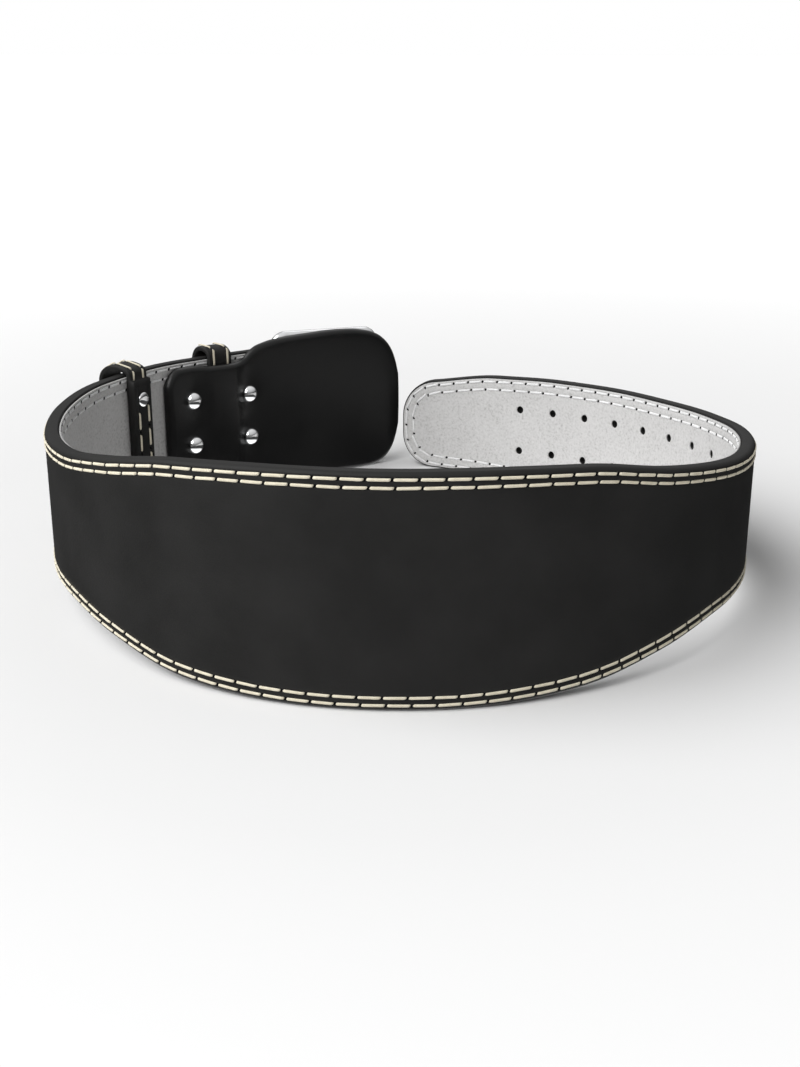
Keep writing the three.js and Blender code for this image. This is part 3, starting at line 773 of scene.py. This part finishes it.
def pathSource(rows):
    # Open lines of points as one mesh. rows: pairs of (points, away directions)
    points = np.concatenate([p for p, _ in rows])
    aways = np.concatenate([a for _, a in rows])
    edges = []
    start = 0
    for p, _ in rows:
        edges += [(start + i, start + i + 1) for i in range(len(p) - 1)]
        start += len(p)
    mesh = bpy.data.meshes.new("path")
    mesh.from_pydata([tuple(p) for p in points], edges, [])
    attribute = mesh.attributes.new("away", "FLOAT_VECTOR", "POINT")
    attribute.data.foreach_set("vector", aways.astype(np.float32).ravel())
    source = bpy.data.objects.new("path", mesh)
    bpy.context.scene.collection.objects.link(source)
    return source


def stitchRows(name, rows, thread, finish, mark, slant, pitch=stitches["pitch"]):
    # The threads of some rows, and the dark blobs of painted shade for the needle holes between
    # them
    sewn = runTree(name, pathSource(rows), alongPath, Piece=thread, Pitch=pitch,
                   Between=0.0, Slant=0.0, Uneven=stitches["uneven"], Seed=stitches["seed"],
                   Finish=finish)
    marks = runTree(name + "Marks", pathSource(rows), alongPath, Piece=mark,
                    Pitch=pitch, Between=0.5, Slant=slant,
                    Uneven=stitches["uneven"], Seed=stitches["seed"] + 1, Finish=paintedHoleShade)
    finishPiece(sewn, "belt", None)
    finishPiece(marks, "belt", None)


def contour(distance, out, side, starts):
    # A row that follows the strap's outline at a distance from it
    before, after = np.searchsorted(columns, columns[0] + np.array(starts)) - 1
    kept = outline[before:len(outline) - after]
    along = kept[:, 0] - kept[:, 2] * distance
    up = kept[:, 1] - kept[:, 3] * distance
    along[0] = columns[0] + starts[0]
    along[-1] = columns[0] + starts[1]
    return onStrap(along, up, out), outward(along) * side


def contourPair(look, out, side):
    # Two rows side by side, out of step with each other
    return [contour(distance, out, side, starts)
            for distance, starts in zip(look["stitchRows"], look["rowStarts"])]


insideStitches = {**stitches, "width": 1.45 * mm, "height": 0.85 * mm, "length": 9.2 * mm,
                  "sink": 0.05 * mm}
# Sizes and slants of the dark blobs of painted shade at the needle holes
holeShades = {
    "outside": {"length": 2.8 * mm, "width": 1.3 * mm, "height": 0.55 * mm},
    "inside": {"length": 2.5 * mm, "width": 1.5 * mm, "height": 0.45 * mm},
    "outsideSlant": math.radians(62),
    "insideSlant": math.radians(70),
    "stripSlant": math.radians(60),  # on the keepers and the buckle's leather
}
creamStitch = threadMesh("creamStitch", stitches, creamThread)
greyStitch = threadMesh("greyStitch", insideStitches, greyThread)
outsideMark = holeShadeMesh("outsideMark", holeShades["outside"])
insideMark = holeShadeMesh("insideMark", holeShades["inside"])

stitchRows("outsideStitches", contourPair(leatherLook, outerFace - leatherLook["dip"], 1),
           creamStitch, creamThread, outsideMark, holeShades["outsideSlant"])
stitchRows("insideStitches", contourPair(liningLook, innerFace + liningLook["dip"], -1),
           greyStitch, greyThread, insideMark, holeShades["insideSlant"],
           stitches["insidePitch"])
print("stitches made")


# The padded guard behind the buckle

guard = {
    "start": 373 * mm,
    "length": 186 * mm,
    "height": 96 * mm,
    "thickness": 5 * mm,
    "edge": 3.4 * mm,  # how far the padding's rounding reaches in from the outline
    "backEdge": 0.9 * mm,
    "crown": 1.3 * mm,
    "dimple": 1.3 * mm,
    "dimpleReach": 8 * mm,
}
keepers = {"thickness": 2.8 * mm, "shoulder": 5 * mm}
# Share of the length, half height as a share of half the guard's, puff
guardRows = [
    (0, 0.48, 0.95), (0.008, 0.54, 1), (0.03, 0.645, 1), (0.06, 0.7, 1), (0.1, 0.715, 1),
    (0.15, 0.72, 1), (0.185, 0.715, 1), (0.24, 0.715, 1), (0.295, 0.715, 0.97),
    (0.322, 0.72, 0.92), (0.345, 0.74, 0.88), (0.375, 0.83, 0.9), (0.41, 0.9, 1),
    (0.48, 0.95, 1.15), (0.6, 0.985, 1.25), (0.7, 1, 1.25), (0.79, 1, 1.2), (0.86, 0.98, 1.15),
    (0.91, 0.93, 1.1), (0.945, 0.84, 1.05), (0.97, 0.72, 1), (0.988, 0.55, 1), (1, 0.36, 0.95),
]
# Share of the length, lift over the keeper under it
guardLift = [(0, 0), (0.11, 0), (0.15, 0.4), (0.19, 1), (0.24, 1.2), (0.285, 1.05), (0.31, 0.6),
             (0.335, 0.2), (0.37, 0), (1, 0)]
rivets = {
    "backAt": guard["start"] + guard["length"] * 0.1075,
    "frontAt": guard["start"] + guard["length"] * 0.355,
    "rows": 27.8 * mm,
    "radius": 5.7 * mm,
    "rise": 4.8 * mm,
    "skirt": 1.2 * mm,
    "capRadius": 5 * mm,
    "capRise": 1.6 * mm,
    "capSkirt": 0.3 * mm,
    "smallRadius": 4.3 * mm,  # the free keeper's rivet
    "smallRise": 1.3 * mm,
    "smallSkirt": 0.9 * mm,
}


def guardSurface(along, up, depth):
    # Out at a depth from the guard's back, 0 at its back and 1 at its padded face
    share = (-along - guard["start"]) / guard["length"]
    lift = readRows(guardLift, 1, share) * (keepers["thickness"] + gap)
    half = guard["height"] / 2 * readRows(guardRows, 1, share)
    thick = guard["thickness"] * readRows(guardRows, 2, share)
    thick = thick + guard["crown"] * np.clip(1 - (up / half) ** 2, 0, 1)
    for at in (rivets["backAt"], rivets["frontAt"]):
        for side in (-1, 1):
            away = np.hypot(along + at, up - side * rivets["rows"] / 2)
            thick = thick - guard["dimple"] * np.exp(-(away / guard["dimpleReach"]) ** 2)
    return innerFace - gap - lift - thick * depth


def makeGuard():
    spacing = 1.6 * mm
    shares = np.unique(np.concatenate([
        np.linspace(0, 1, round(guard["length"] / spacing)), [0.004, 0.012, 0.02],
        1 - np.array([0.003, 0.006, 0.009, 0.012, 0.016, 0.022])]))
    half = guard["height"] / 2 * readRows(guardRows, 1, shares)
    along = -(guard["start"] + shares * guard["length"])
    cells = 26
    count = len(shares)
    across = np.linspace(-1, 1, cells + 1)
    rim = [(along[i], -half[i]) for i in range(count)]
    rim += [(along[-1], half[-1] * s) for s in across[1:-1]]
    rim += [(along[i], half[i]) for i in reversed(range(count))]
    rim += [(along[0], -half[0] * s) for s in across[1:-1]]
    rim = np.array(rim)
    ahead = np.roll(rim, -1, 0) - rim
    ahead /= np.linalg.norm(ahead, axis=1, keepdims=True)
    normals = np.stack([ahead[:, 1], -ahead[:, 0]], 1)
    normals = normals + np.roll(normals, 1, 0)
    for _ in range(3):
        normals = normals + 0.5 * (np.roll(normals, 1, 0) + np.roll(normals, -1, 0))
        normals /= np.linalg.norm(normals, axis=1, keepdims=True)
    if np.sum(normals[:, 1] * rim[:, 1]) < 0:
        normals = -normals
    steps = 8
    profile = []
    for i in range(steps + 1):
        angle = math.radians(90 * i / steps)
        profile.append((guard["edge"] * (1 - math.sin(angle)), 0.35 + 0.65 * math.cos(angle)))
    profile += [(0.0, 0.2), (0.25 * guard["backEdge"], 0.06), (guard["backEdge"], 0.0)]
    places = []
    for d, depth in profile:
        at = rim - normals * d
        places.append(np.column_stack([at, np.full(len(at), depth)]))
    places = np.concatenate(places)
    total = len(rim)
    faces = []
    for k in range(len(profile) - 1):
        for p in range(total):
            m = (p + 1) % total
            faces.append((k * total + p, k * total + m, (k + 1) * total + m, (k + 1) * total + p))
    extra = []
    for level, ring in ((1.0, 0), (0.0, len(profile) - 1)):
        grid = []
        for i in range(count):
            low = ring * total + i
            high = ring * total + count + cells - 1 + (count - 1 - i)
            if i == 0:
                line = [ring * total + total - 1 - k for k in range(cells - 1)]
            elif i == count - 1:
                line = [ring * total + count + k for k in range(cells - 1)]
            else:
                start, end = places[low, :2], places[high, :2]
                line = []
                for s in (across[1:-1] + 1) / 2:
                    extra.append((*(start + (end - start) * s), level))
                    line.append(len(places) + len(extra) - 1)
            grid.append([low, *line, high])
        faces += gridFaces(grid)
    places = np.concatenate([places, np.array(extra)])
    places[:, 2] = guardSurface(*places.T)
    return strapPiece("paddedGuard", places, faces, guardLeather)


guardPad = makeGuard()
finishPiece(guardPad, "belt", "guard_leather", "buckle_guard")
print("guard made")


# The two keepers, bands that loop over and under the strap

keeperInner = innerFace - gap - keepers["thickness"] / 2
keepers.update({
    "free": {"at": guard["start"] - 24 * mm, "rise": 5.1 * mm, "width": 16 * mm,
             "rows": 8.6 * mm,
             "outer": outerFace + thickness + 2 * gap + keepers["thickness"] / 2},
    "fixed": {"at": guard["start"] + guard["length"] * 0.249, "rise": 6.2 * mm,
              "width": 18 * mm, "rows": 11 * mm,
              "outer": outerFace + 3 * mm + 2 * gap + keepers["thickness"] / 2},
    "overlapTop": 33 * mm,
    "rivetUp": 21 * mm,
    "dip": 0.25 * mm,
    "edge": 0.9 * mm,
    "archSteps": 20,
    "legSteps": 14,
})


def keeperPath(keeper, overlap):
    # Rows of (out, up, normal out, normal up, layers) up the inner leg, over the top, down the
    # outer leg and back underneath
    middle = (keeperInner + keeper["outer"]) / 2
    reach = (keeper["outer"] - keeperInner) / 2
    legTop = float(strapHalf(-keeper["at"])) - gap / 2
    rise = keeper["rise"] - keepers["thickness"] / 2 + gap / 2
    rows = []
    arch = keepers["archSteps"]
    legs = keepers["legSteps"]
    for end in (1, -1):
        for i in range(arch + 1):
            angle = math.pi * i / arch
            # The outer shoulder starts lower, so the loop is rounder there
            outside = -end * math.cos(angle) > 0
            shoulder = keepers["shoulder"] if outside else 0
            tall = rise + shoulder
            normal = np.array([-end * math.cos(angle) / reach, end * math.sin(angle) / tall])
            normal /= np.linalg.norm(normal)
            rows.append((middle - end * reach * math.cos(angle),
                         end * (legTop - shoulder + tall * math.sin(angle)), *normal, 1))
        out = keeper["outer"] if end == 1 else keeperInner
        if end == 1 or not overlap:
            for i in range(1, legs):
                straight = legTop - (keepers["shoulder"] if end == 1 else 0)
                rows.append((out, end * straight * (1 - 2 * i / legs), end, 0, 1))
    if overlap:
        top = keepers["overlapTop"]
        step = 0.5 * mm
        rows.append((keeperInner, -top, -1, 0, 1))
        rows.append((keeperInner, -top + step, -1, 0, 2))
        for i in range(1, legs):
            rows.append((keeperInner, -top + 2 * top * i / legs, -1, 0, 2))
        rows.append((keeperInner, top - step, -1, 0, 2))
        rows.append((keeperInner, top, -1, 0, 1))
    return rows


def bandSection(keeper, layers):
    # (side, thick) round a keeper's section, dipped at its stitch rows
    low = -keepers["thickness"] / 2
    high = low + keepers["thickness"] * layers
    half = keeper["width"] / 2
    edge = keepers["edge"]
    points = []
    for i in range(4):
        angle = math.radians(30 * i)
        points.append((half - edge * (1 - math.cos(angle)), high - edge * (1 - math.sin(angle))))
    row = keeper["rows"] / 2
    for centre in (row, -row):
        for side, depth in ((0.9, 0), (0.4, 0.6), (0, 1), (-0.4, 0.6), (-0.9, 0)):
            points.append((centre + side * mm, high - keepers["dip"] * depth))
    for i in range(4):
        angle = math.radians(90 - 30 * i)
        points.append((-half + edge * (1 - math.cos(angle)), high - edge * (1 - math.sin(angle))))
    points.append((-half, low + edge / 2))
    points.append((-half + edge / 2, low))
    points.append((half - edge / 2, low))
    points.append((half, low + edge / 2))
    return points


def makeKeeper(name, keeper, overlap, node):
    path = keeperPath(keeper, overlap)
    places = []
    for out, up, normalOut, normalUp, layers in path:
        for side, thick in bandSection(keeper, layers):
            places.append((-keeper["at"] + side, up + normalUp * thick, out + normalOut * thick))
    faces = ringFaces(len(path), len(bandSection(keeper, 1)), loop=True)
    finishPiece(strapPiece(name, places, faces, strapLeather), "belt", "leather", node)


def bandRow(keeper, rows, side):
    # A stitch row on a keeper through some of its path's rows
    at = -keeper["at"] + side * keeper["rows"] / 2
    rows = np.array(rows)
    rise = keepers["thickness"] * (rows[:, 4] - 0.5) - keepers["dip"]
    points = onStrap(np.full(len(rows), at), rows[:, 1] + rows[:, 3] * rise,
                     rows[:, 0] + rows[:, 2] * rise)
    away = outward(np.full(len(rows), at)) * rows[:, 2:3]
    away[:, 2] = rows[:, 3]
    return points, away


def innerRow(top, bottom, layers):
    # A stitch row down the inner leg
    ups = np.linspace(top, bottom, 24)
    return [(keeperInner, up, -1, 0, layers) for up in ups]


makeKeeper("freeKeeper", keepers["free"], True, "keeper_free")
makeKeeper("fixedKeeper", keepers["fixed"], False, "keeper_fixed")
freePath = keeperPath(keepers["free"], True)
fixedPath = keeperPath(keepers["fixed"], False)
singleRows = 2 * (keepers["archSteps"] + 1) + keepers["legSteps"] - 1
freeTop = float(strapHalf(-keepers["free"]["at"]))
overTop = innerRow(keepers["overlapTop"], freeTop, 1)
keeperRows = []
for side, top in ((-1, 12 * mm), (1, 8.6 * mm)):
    overlapRow = innerRow(top, -keepers["overlapTop"] + 2 * mm, 2)
    keeperRows.append(bandRow(keepers["free"], overTop[:-1] + freePath[:singleRows], side))
    keeperRows.append(bandRow(keepers["free"], overlapRow, side))
    keeperRows.append(bandRow(keepers["fixed"], fixedPath, side))
stitchRows("keeperStitches", keeperRows, creamStitch, creamThread, outsideMark,
           holeShades["stripSlant"])
print("keepers made")


# The leather that holds the buckle, folded round the bar

buckle = {
    "strapStart": guard["start"] + 10 * mm,
    "strapReturn": belt["buckleEnd"] - 21 * mm,
    "strapHeight": 65 * mm,
    "strapThickness": 3 * mm,
    "strapRounding": 6 * mm,  # of the outer end's corners
    "strapBevel": 0.7 * mm,
    "strapStitches": 3.5 * mm,  # in from the edge
    "foldStart": 14 * mm,
    "slotBehindBar": 17 * mm,
    "barAt": belt["buckleEnd"] + 17.5 * mm,
    "barToRoller": 76.5 * mm,
    "frameHeight": 90.5 * mm,
    "frameLift": 1.9 * mm,
    "wire": 6.6 * mm,
    "corner": 8 * mm,
    "rollerRadius": 5.1 * mm,
    "rollerLength": 66 * mm,
    "rollerEdge": 0.7 * mm,
    "prongWidth": 6 * mm,
    "prongEye": 6 * mm,
}
buckleLayer = outerFace + gap + buckle["strapThickness"] / 2
returnLayer = buckleLayer + gap + buckle["strapThickness"]
barOut = (buckleLayer + returnLayer) / 2
barPoint = onStrap(-buckle["barAt"], 0, barOut)
rollerGuide = onStrap(-(buckle["barAt"] + buckle["barToRoller"]), 0, barOut)
acrossAxis = (rollerGuide - barPoint) / np.linalg.norm(rollerGuide - barPoint)
outAxis = np.cross((0, 0, 1), acrossAxis)
outAxis /= np.linalg.norm(outAxis)
upAxis = np.cross(acrossAxis, outAxis)
lean = (barPoint[2] - rollerGuide[2]) / buckle["barToRoller"]


def onBuckle(places):
    # Points at (across from the bar to the roller, out, up) in the buckle's own frame
    places = np.asarray(places, float)
    return barPoint + places @ np.stack([acrossAxis, outAxis, upAxis])


def makeBuckleStrap():
    foldRadius = buckle["wire"] / 2 + gap + buckle["strapThickness"] / 2
    ease = buckle["strapThickness"] * 0.4
    barAt, foldStart = buckle["barAt"], buckle["foldStart"]
    path = [(a, buckleLayer) for a in np.linspace(buckle["strapStart"], belt["buckleEnd"], 26)]
    path.append((barAt - foldStart, buckleLayer - ease))
    path.append((barAt - foldStart / 2, barOut - foldRadius + ease * 0.4))
    folds = 14
    for i in range(folds + 1):
        angle = math.pi * (i / folds - 0.5)
        path.append((barAt + foldRadius * math.cos(angle), barOut + foldRadius * math.sin(angle)))
    path.append((barAt - foldStart / 2, barOut + foldRadius - ease * 0.4))
    path.append((barAt - foldStart, returnLayer + ease))
    path += [(a, returnLayer) for a in np.linspace(belt["buckleEnd"], buckle["strapReturn"], 8)]
    half = buckle["strapHeight"] / 2 - 0.2 * mm
    slotHalf = buckle["prongWidth"] / 2 + 2 * gap
    row = holes["rows"] / 2
    cuts = [-half, -half + 3 * mm, -row - slotHalf, -row + slotHalf, row - slotHalf,
            row + slotHalf, half - 3 * mm, half]
    ups = []
    for low, high in zip(cuts[:-1], cuts[1:]):
        count = max(round((high - low) / (3.2 * mm)), 1)
        ups.extend(np.linspace(low, high, count + 1)[:-1])
    ups = np.array([*ups, half])
    places = []
    for along, out in path:
        # The strap's outer end is rounded where it starts
        into = buckle["strapRounding"] - (along - buckle["strapStart"])
        rounded = out == buckleLayer and into > 0
        for up in ups:
            places.append((-(along + lean * up), up, out))
            if rounded and abs(up) > half - into:
                places[-1] = (-(along + lean * up), math.copysign(half - into * 0.35, up), out)
    faces = []
    for i in range(len(path) - 1):
        inSlot = min(path[i][0], path[i + 1][0]) >= barAt - buckle["slotBehindBar"] + 2.5 * mm
        for k in range(len(ups) - 1):
            middle = abs(abs(ups[k] + ups[k + 1]) / 2 - row)
            if inSlot and middle < slotHalf:
                continue
            here = i * len(ups) + k
            faces.append((here, here + 1, here + len(ups) + 1, here + len(ups)))
    strip = strapPiece("buckleLeather", places, faces, strapLeather)
    solid = strip.modifiers.new("thickness", "SOLIDIFY")
    solid.thickness = buckle["strapThickness"]
    solid.offset = 0
    edges = strip.modifiers.new("edges", "BEVEL")
    edges.width = buckle["strapBevel"]
    edges.segments = 3
    edges.limit_method = "ANGLE"
    edges.angle_limit = math.radians(50)
    mesh = bakedMesh(strip)
    strip.modifiers.clear()
    strip.data = mesh
    mesh.polygons.foreach_set("use_smooth", [True] * len(mesh.polygons))
    finishPiece(strip, "belt", "leather", "buckle_strap")


makeBuckleStrap()
stripAlong = -np.linspace(buckle["strapStart"] + 4 * mm,
                          buckle["barAt"] - 2 * buckle["foldStart"], 40)
stripRows = []
for side in (-1, 1):
    up = side * (buckle["strapHeight"] / 2 - buckle["strapStitches"])
    points = onStrap(stripAlong, up, buckleLayer + buckle["strapThickness"] / 2)
    stripRows.append((points, outward(stripAlong)))
stitchRows("buckleLeatherStitches", stripRows, creamStitch, creamThread, outsideMark,
           holeShades["stripSlant"])
print("buckle leather made")


# Chrome: the buckle's frame, roller and prongs

def makeFrame():
    half = (buckle["frameHeight"] - buckle["wire"]) / 2
    lift = buckle["frameLift"]
    corner = buckle["corner"]
    corners = [(buckle["barToRoller"] - corner, lift + half - corner, 0),
               (corner, lift + half - corner, 90), (corner, lift - half + corner, 180),
               (buckle["barToRoller"] - corner, lift - half + corner, 270)]
    rings = []
    for x, z, start in corners:
        for i in range(13):
            angle = math.radians(start + 90 * i / 12)
            rings.append((x + corner * math.cos(angle), z + corner * math.sin(angle),
                          math.cos(angle), math.sin(angle)))
    sides = 24
    places = []
    for x, z, nx, nz in rings:
        for c, s in roundTurn(sides):
            side = buckle["wire"] / 2 * c
            places.append((x + nx * side, buckle["wire"] / 2 * s, z + nz * side))
    return makePiece("buckleFrame", onBuckle(places), ringFaces(len(rings), sides, loop=True),
                     chrome)


def makeRoller():
    inner = buckle["wire"] / 2 + gap
    outer = buckle["rollerRadius"]
    half = buckle["rollerLength"] / 2
    edge = buckle["rollerEdge"]
    rows = [(inner, -half)]
    for i in range(5):
        angle = math.radians(22.5 * i)
        rows.append((outer - edge * (1 - math.sin(angle)), -half + edge * (1 - math.cos(angle))))
    rows += [(r, -z) for r, z in reversed(rows)]
    sides = 48
    places = [(buckle["barToRoller"] + radius * c, radius * s, z)
              for radius, z in rows for c, s in roundTurn(sides)]
    faces = ringFaces(len(rows), sides, loop=True)
    return makePiece("buckleRoller", onBuckle(places), faces, chrome)


def makeProng(name, side):
    # A flat bar bent round the buckle's bar, its tip on the roller
    bore = buckle["wire"] / 2 + gap
    eye = buckle["prongEye"]
    onRoller = buckle["rollerRadius"] + gap
    path = []  # centre line as (across, out), half thickness, half width
    bend = (eye + bore) / 2
    for i in range(25):
        angle = math.radians(-20 - 250 * i / 24)
        path.append((bend * math.cos(angle), bend * math.sin(angle), (eye - bore) / 2, 1))
    path += [(4 * mm, bend + 0.35 * mm, 1.45 * mm, 1), (12 * mm, 4.6 * mm, 1.6 * mm, 1)]
    reach = buckle["barToRoller"]
    path += [(reach * 0.5, onRoller + 0.4 * mm, 1.7 * mm, 0.97),
             (reach * 0.8, onRoller + 0.7 * mm, 1.7 * mm, 0.93),
             (reach - 6 * mm, onRoller + 1.3 * mm, 1.6 * mm, 0.9),
             (reach, onRoller + 1.75 * mm, 1.6 * mm, 0.85),
             (reach + 4 * mm, onRoller + 1.65 * mm, 1.4 * mm, 0.75),
             (reach + 6 * mm, onRoller + 1.4 * mm, 1.1 * mm, 0.62),
             (reach + 6.9 * mm, onRoller + 1.2 * mm, 0.6 * mm, 0.4)]
    path = np.array(path)
    line = path[:, :2]
    ahead = np.gradient(line, axis=0)
    ahead /= np.linalg.norm(ahead, axis=1, keepdims=True)
    places = []
    sides = 24
    middle = side * holes["rows"] / 2
    for (x, y, thick, wide), (dx, dy) in zip(path, ahead):
        for c, s in roundTurn(sides):
            # A rounded rectangle in section
            u = math.copysign(abs(c) ** 0.35, c) * buckle["prongWidth"] / 2 * wide
            v = math.copysign(abs(s) ** 0.5, s) * thick
            places.append((x - dy * v, y + dx * v, middle + u))
    return makePiece(name, onBuckle(places), ringFaces(len(path), sides), chrome)


finishPiece(makeFrame(), "buckle", "chrome", "buckle_frame")
finishPiece(makeRoller(), "roller", "chrome", "buckle_roller")
finishPiece(makeProng("upperProng", 1), "upper_prong", "chrome", "prong_upper")
finishPiece(makeProng("lowerProng", -1), "lower_prong", "chrome", "prong_lower")
print("buckle made")


# Rivets: domes inside and low caps outside, set by Geometry Nodes

def domeMesh(name, radius, rise, skirt):
    # A dome on Z with a skirt below its rim
    rows = [(radius * 0.9, -skirt), (radius, -skirt * 0.9), (radius, 0)]
    steps = 9
    for i in range(1, steps):
        angle = math.radians(90 * i / steps)
        rows.append((radius * math.cos(angle), rise * math.sin(angle)))
    rows.append((radius * 0.02, rise))
    sides = 40
    points = [(r * c, r * s, z) for r, z in rows for c, s in roundTurn(sides)]
    return makePiece(name, points, ringFaces(len(rows), sides), chrome, shown=False)


def pointTree():
    # Geometry Nodes: a piece on each point, its Z along the point's "away"
    tree, given = newTree("placeOnPoints", {
        "Points": "Geometry", "Piece": "Object", "Finish": "Material"})
    turn = addNode(tree, "FunctionNodeAlignRotationToVector", {"Vector": awayField(tree)}, axis="Z")
    placed = placedPieces(tree, given["Points"], given["Piece"], turn.outputs[0])
    return endTree(tree, placed, given["Finish"])


onPoints = pointTree()


def setRivets(name, spots, side, head):
    # spots: rows of (along, up, out). side: 1 outside the strap and -1 inside
    spots = np.array(spots)
    aways = outward(spots[:, 0]) * side
    source = pathSource([(p[None], a[None]) for p, a in zip(onStrap(*spots.T), aways)])
    return runTree(name, source, onPoints, Piece=head, Finish=chrome)


guardRivetNodes = ["rivet_back_upper", "rivet_back_lower", "rivet_front_upper",
                   "rivet_front_lower"]
domeFace = innerFace - 2 * gap - guard["thickness"]
capFace = {rivets["backAt"]: buckleLayer, rivets["frontAt"]: returnLayer}
domeSpots = [(-at, side * rivets["rows"] / 2, domeFace) for at in capFace for side in (1, -1)]
capSpots = [(-at, side * rivets["rows"] / 2, layer + buckle["strapThickness"] / 2 + gap)
            for at, layer in capFace.items() for side in (1, -1)]
dome = domeMesh("domeHead", rivets["radius"], rivets["rise"], rivets["skirt"])
cap = domeMesh("capHead", rivets["capRadius"], rivets["capRise"], rivets["capSkirt"])
smallHead = domeMesh("smallHead", rivets["smallRadius"], rivets["smallRise"],
                     rivets["smallSkirt"])
domes = setRivets("guardRivets", domeSpots, -1, dome)
caps = setRivets("rivetCaps", capSpots, 1, cap)
keeperRivet = setRivets("keeperRivet", [(
    -keepers["free"]["at"], keepers["rivetUp"],
    keeperInner - keepers["thickness"] * 1.5 - gap)], -1, smallHead)
finishPiece(domes, "belt", "chrome", *guardRivetNodes)
finishPiece(caps, "belt", "chrome")
finishPiece(keeperRivet, "belt", "chrome", "keeper_rivet")
print("rivets made")


# Floor, lights and camera

stage = {
    "floorHalf": 30.0,
    "floorTone": 0.76,
    "floorGlow": 0.5,  # how bright the floor glows far behind the belt
    "glowFades": (0.3, 1.9),
    "backdrop": 1.0,  # what the camera sees behind the floor
    "skies": ((0, 0.7), (0.16, 0.7), (0.24, 0.03), (0.5, 0.02), (0.56, 0.05), (0.72, 0.24),
              (1, 0.38)),
    "gleam": 2.2,  # how much brighter reflections see the skies
    "sun": {"at": (-0.66, -0.2, 0.72), "angle": 60.0, "power": 2.7},
    "back": {"at": (0.2, 3.2, 2.4), "size": 2.0, "power": 7.0},
    "front": {"at": (-0.9, -1.6, 1.5), "size": 1.5, "power": 24.0},
}


def makeFloor():
    half = stage["floorHalf"]
    floor = bpy.data.meshes.new("floor")
    floor.from_pydata([(-half, -half, 0), (half, -half, 0), (half, half, 0), (-half, half, 0)],
                      [], [(0, 1, 2, 3)])
    finish, tree, shader = newFinish("floorFinish")
    place = tree.nodes.new("ShaderNodeTexCoord").outputs["Object"]
    distance = addNode(tree, "ShaderNodeVectorMath", {"Vector": place}, operation="LENGTH")
    glow = rangeNode(tree, distance.outputs["Value"], 0.0, stage["floorGlow"], *stage["glowFades"])
    feed(tree, shader, Emission_Strength=glow)
    setInputs(shader, Emission_Color=(1, 1, 1, 1), Base_Color=(*[stage["floorTone"]] * 3, 1))
    setInputs(shader, Roughness=1, Specular_IOR_Level=0)
    floor.materials.append(finish)
    piece = bpy.data.objects.new("floor", floor)
    piece.visible_glossy = False
    bpy.context.scene.collection.objects.link(piece)


def facing(away):
    # A lamp's turn, its back towards a direction
    away = np.array(away) / np.linalg.norm(away)
    side = np.cross((0, 0, 1), away)
    side /= np.linalg.norm(side)
    return Matrix((side, np.cross(away, side), away)).transposed()


def addLamp(name, kind, look):
    # A soft lamp. look: where an area lamp stands, or the direction that a sun comes from
    light = bpy.data.lights.new(name, kind)
    light.energy = look["power"]
    lamp = bpy.data.objects.new(name, light)
    turn = facing(look["at"]).to_4x4()
    if kind == "SUN":
        light.angle = math.radians(look["angle"])
        lamp.matrix_world = turn
    else:
        light.shape = "DISK"
        light.size = look["size"]
        lamp.matrix_world = Matrix.Translation(look["at"]) @ turn
    bpy.context.scene.collection.objects.link(lamp)


camera = {
    "at": (0.038481, -0.744019, 0.273388),
    "heading": 92.9775,  # degrees from +X
    "down": 19.3947,
    "roll": 0.0668,
    "lens": 47.094,
}


def makeCamera():
    eye = bpy.data.cameras.new("camera")
    eye.sensor_fit = "VERTICAL"
    eye.sensor_height = 36
    eye.sensor_width = 27
    eye.lens = camera["lens"]
    eye.clip_start = 0.01
    eye.clip_end = 100
    holder = bpy.data.objects.new("camera", eye)
    turn, down, roll = (math.radians(camera[k]) for k in ("heading", "down", "roll"))
    ahead = np.array([math.cos(turn) * math.cos(down), math.sin(turn) * math.cos(down),
                      -math.sin(down)])
    right = np.array([math.sin(turn), -math.cos(turn), 0])
    up = np.cross(right, ahead)
    tilted = right * math.cos(roll) + up * math.sin(roll)
    raised = up * math.cos(roll) - right * math.sin(roll)
    matrix = Matrix((tilted, raised, -ahead)).transposed().to_4x4()
    holder.matrix_world = Matrix.Translation(camera["at"]) @ matrix
    bpy.context.scene.collection.objects.link(holder)
    bpy.context.scene.camera = holder


def makeWorld():
    # A white backdrop for the camera, and light by height: dark at the horizon, bright overhead
    world = bpy.data.worlds.new("studio")
    world.use_nodes = True
    tree = world.node_tree
    direction = tree.nodes.new("ShaderNodeTexCoord").outputs["Generated"]
    height = addNode(tree, "ShaderNodeSeparateXYZ", {"Vector": direction}).outputs["Z"]
    turned = rangeNode(tree, height, 0.0, 1.0, -1.0, 1.0)
    level = rampNode(tree, turned, [(at, (v, v, v)) for at, v in stage["skies"]])
    path = tree.nodes.new("ShaderNodeLightPath").outputs
    mixed = rangeNode(tree, path["Is Camera Ray"], 0.0, stage["backdrop"], 0.0, 1.0)
    glossy = rangeNode(tree, path["Is Glossy Ray"], 1.0, stage["gleam"], 0.0, 1.0)
    tree.links.new(mathNode(tree, "MULTIPLY", level, glossy), mixed.node.inputs["To Min"])
    tree.links.new(mixed, tree.nodes["Background"].inputs["Strength"])
    tree.nodes["Background"].inputs["Color"].default_value = (1, 1, 1, 1)
    bpy.context.scene.world = world
    bpy.context.scene.view_settings.view_transform = "Standard"


makeFloor()
makeWorld()
addLamp("sun", "SUN", stage["sun"])
addLamp("back", "AREA", stage["back"])
addLamp("front", "AREA", stage["front"])
makeCamera()
print("stage made")
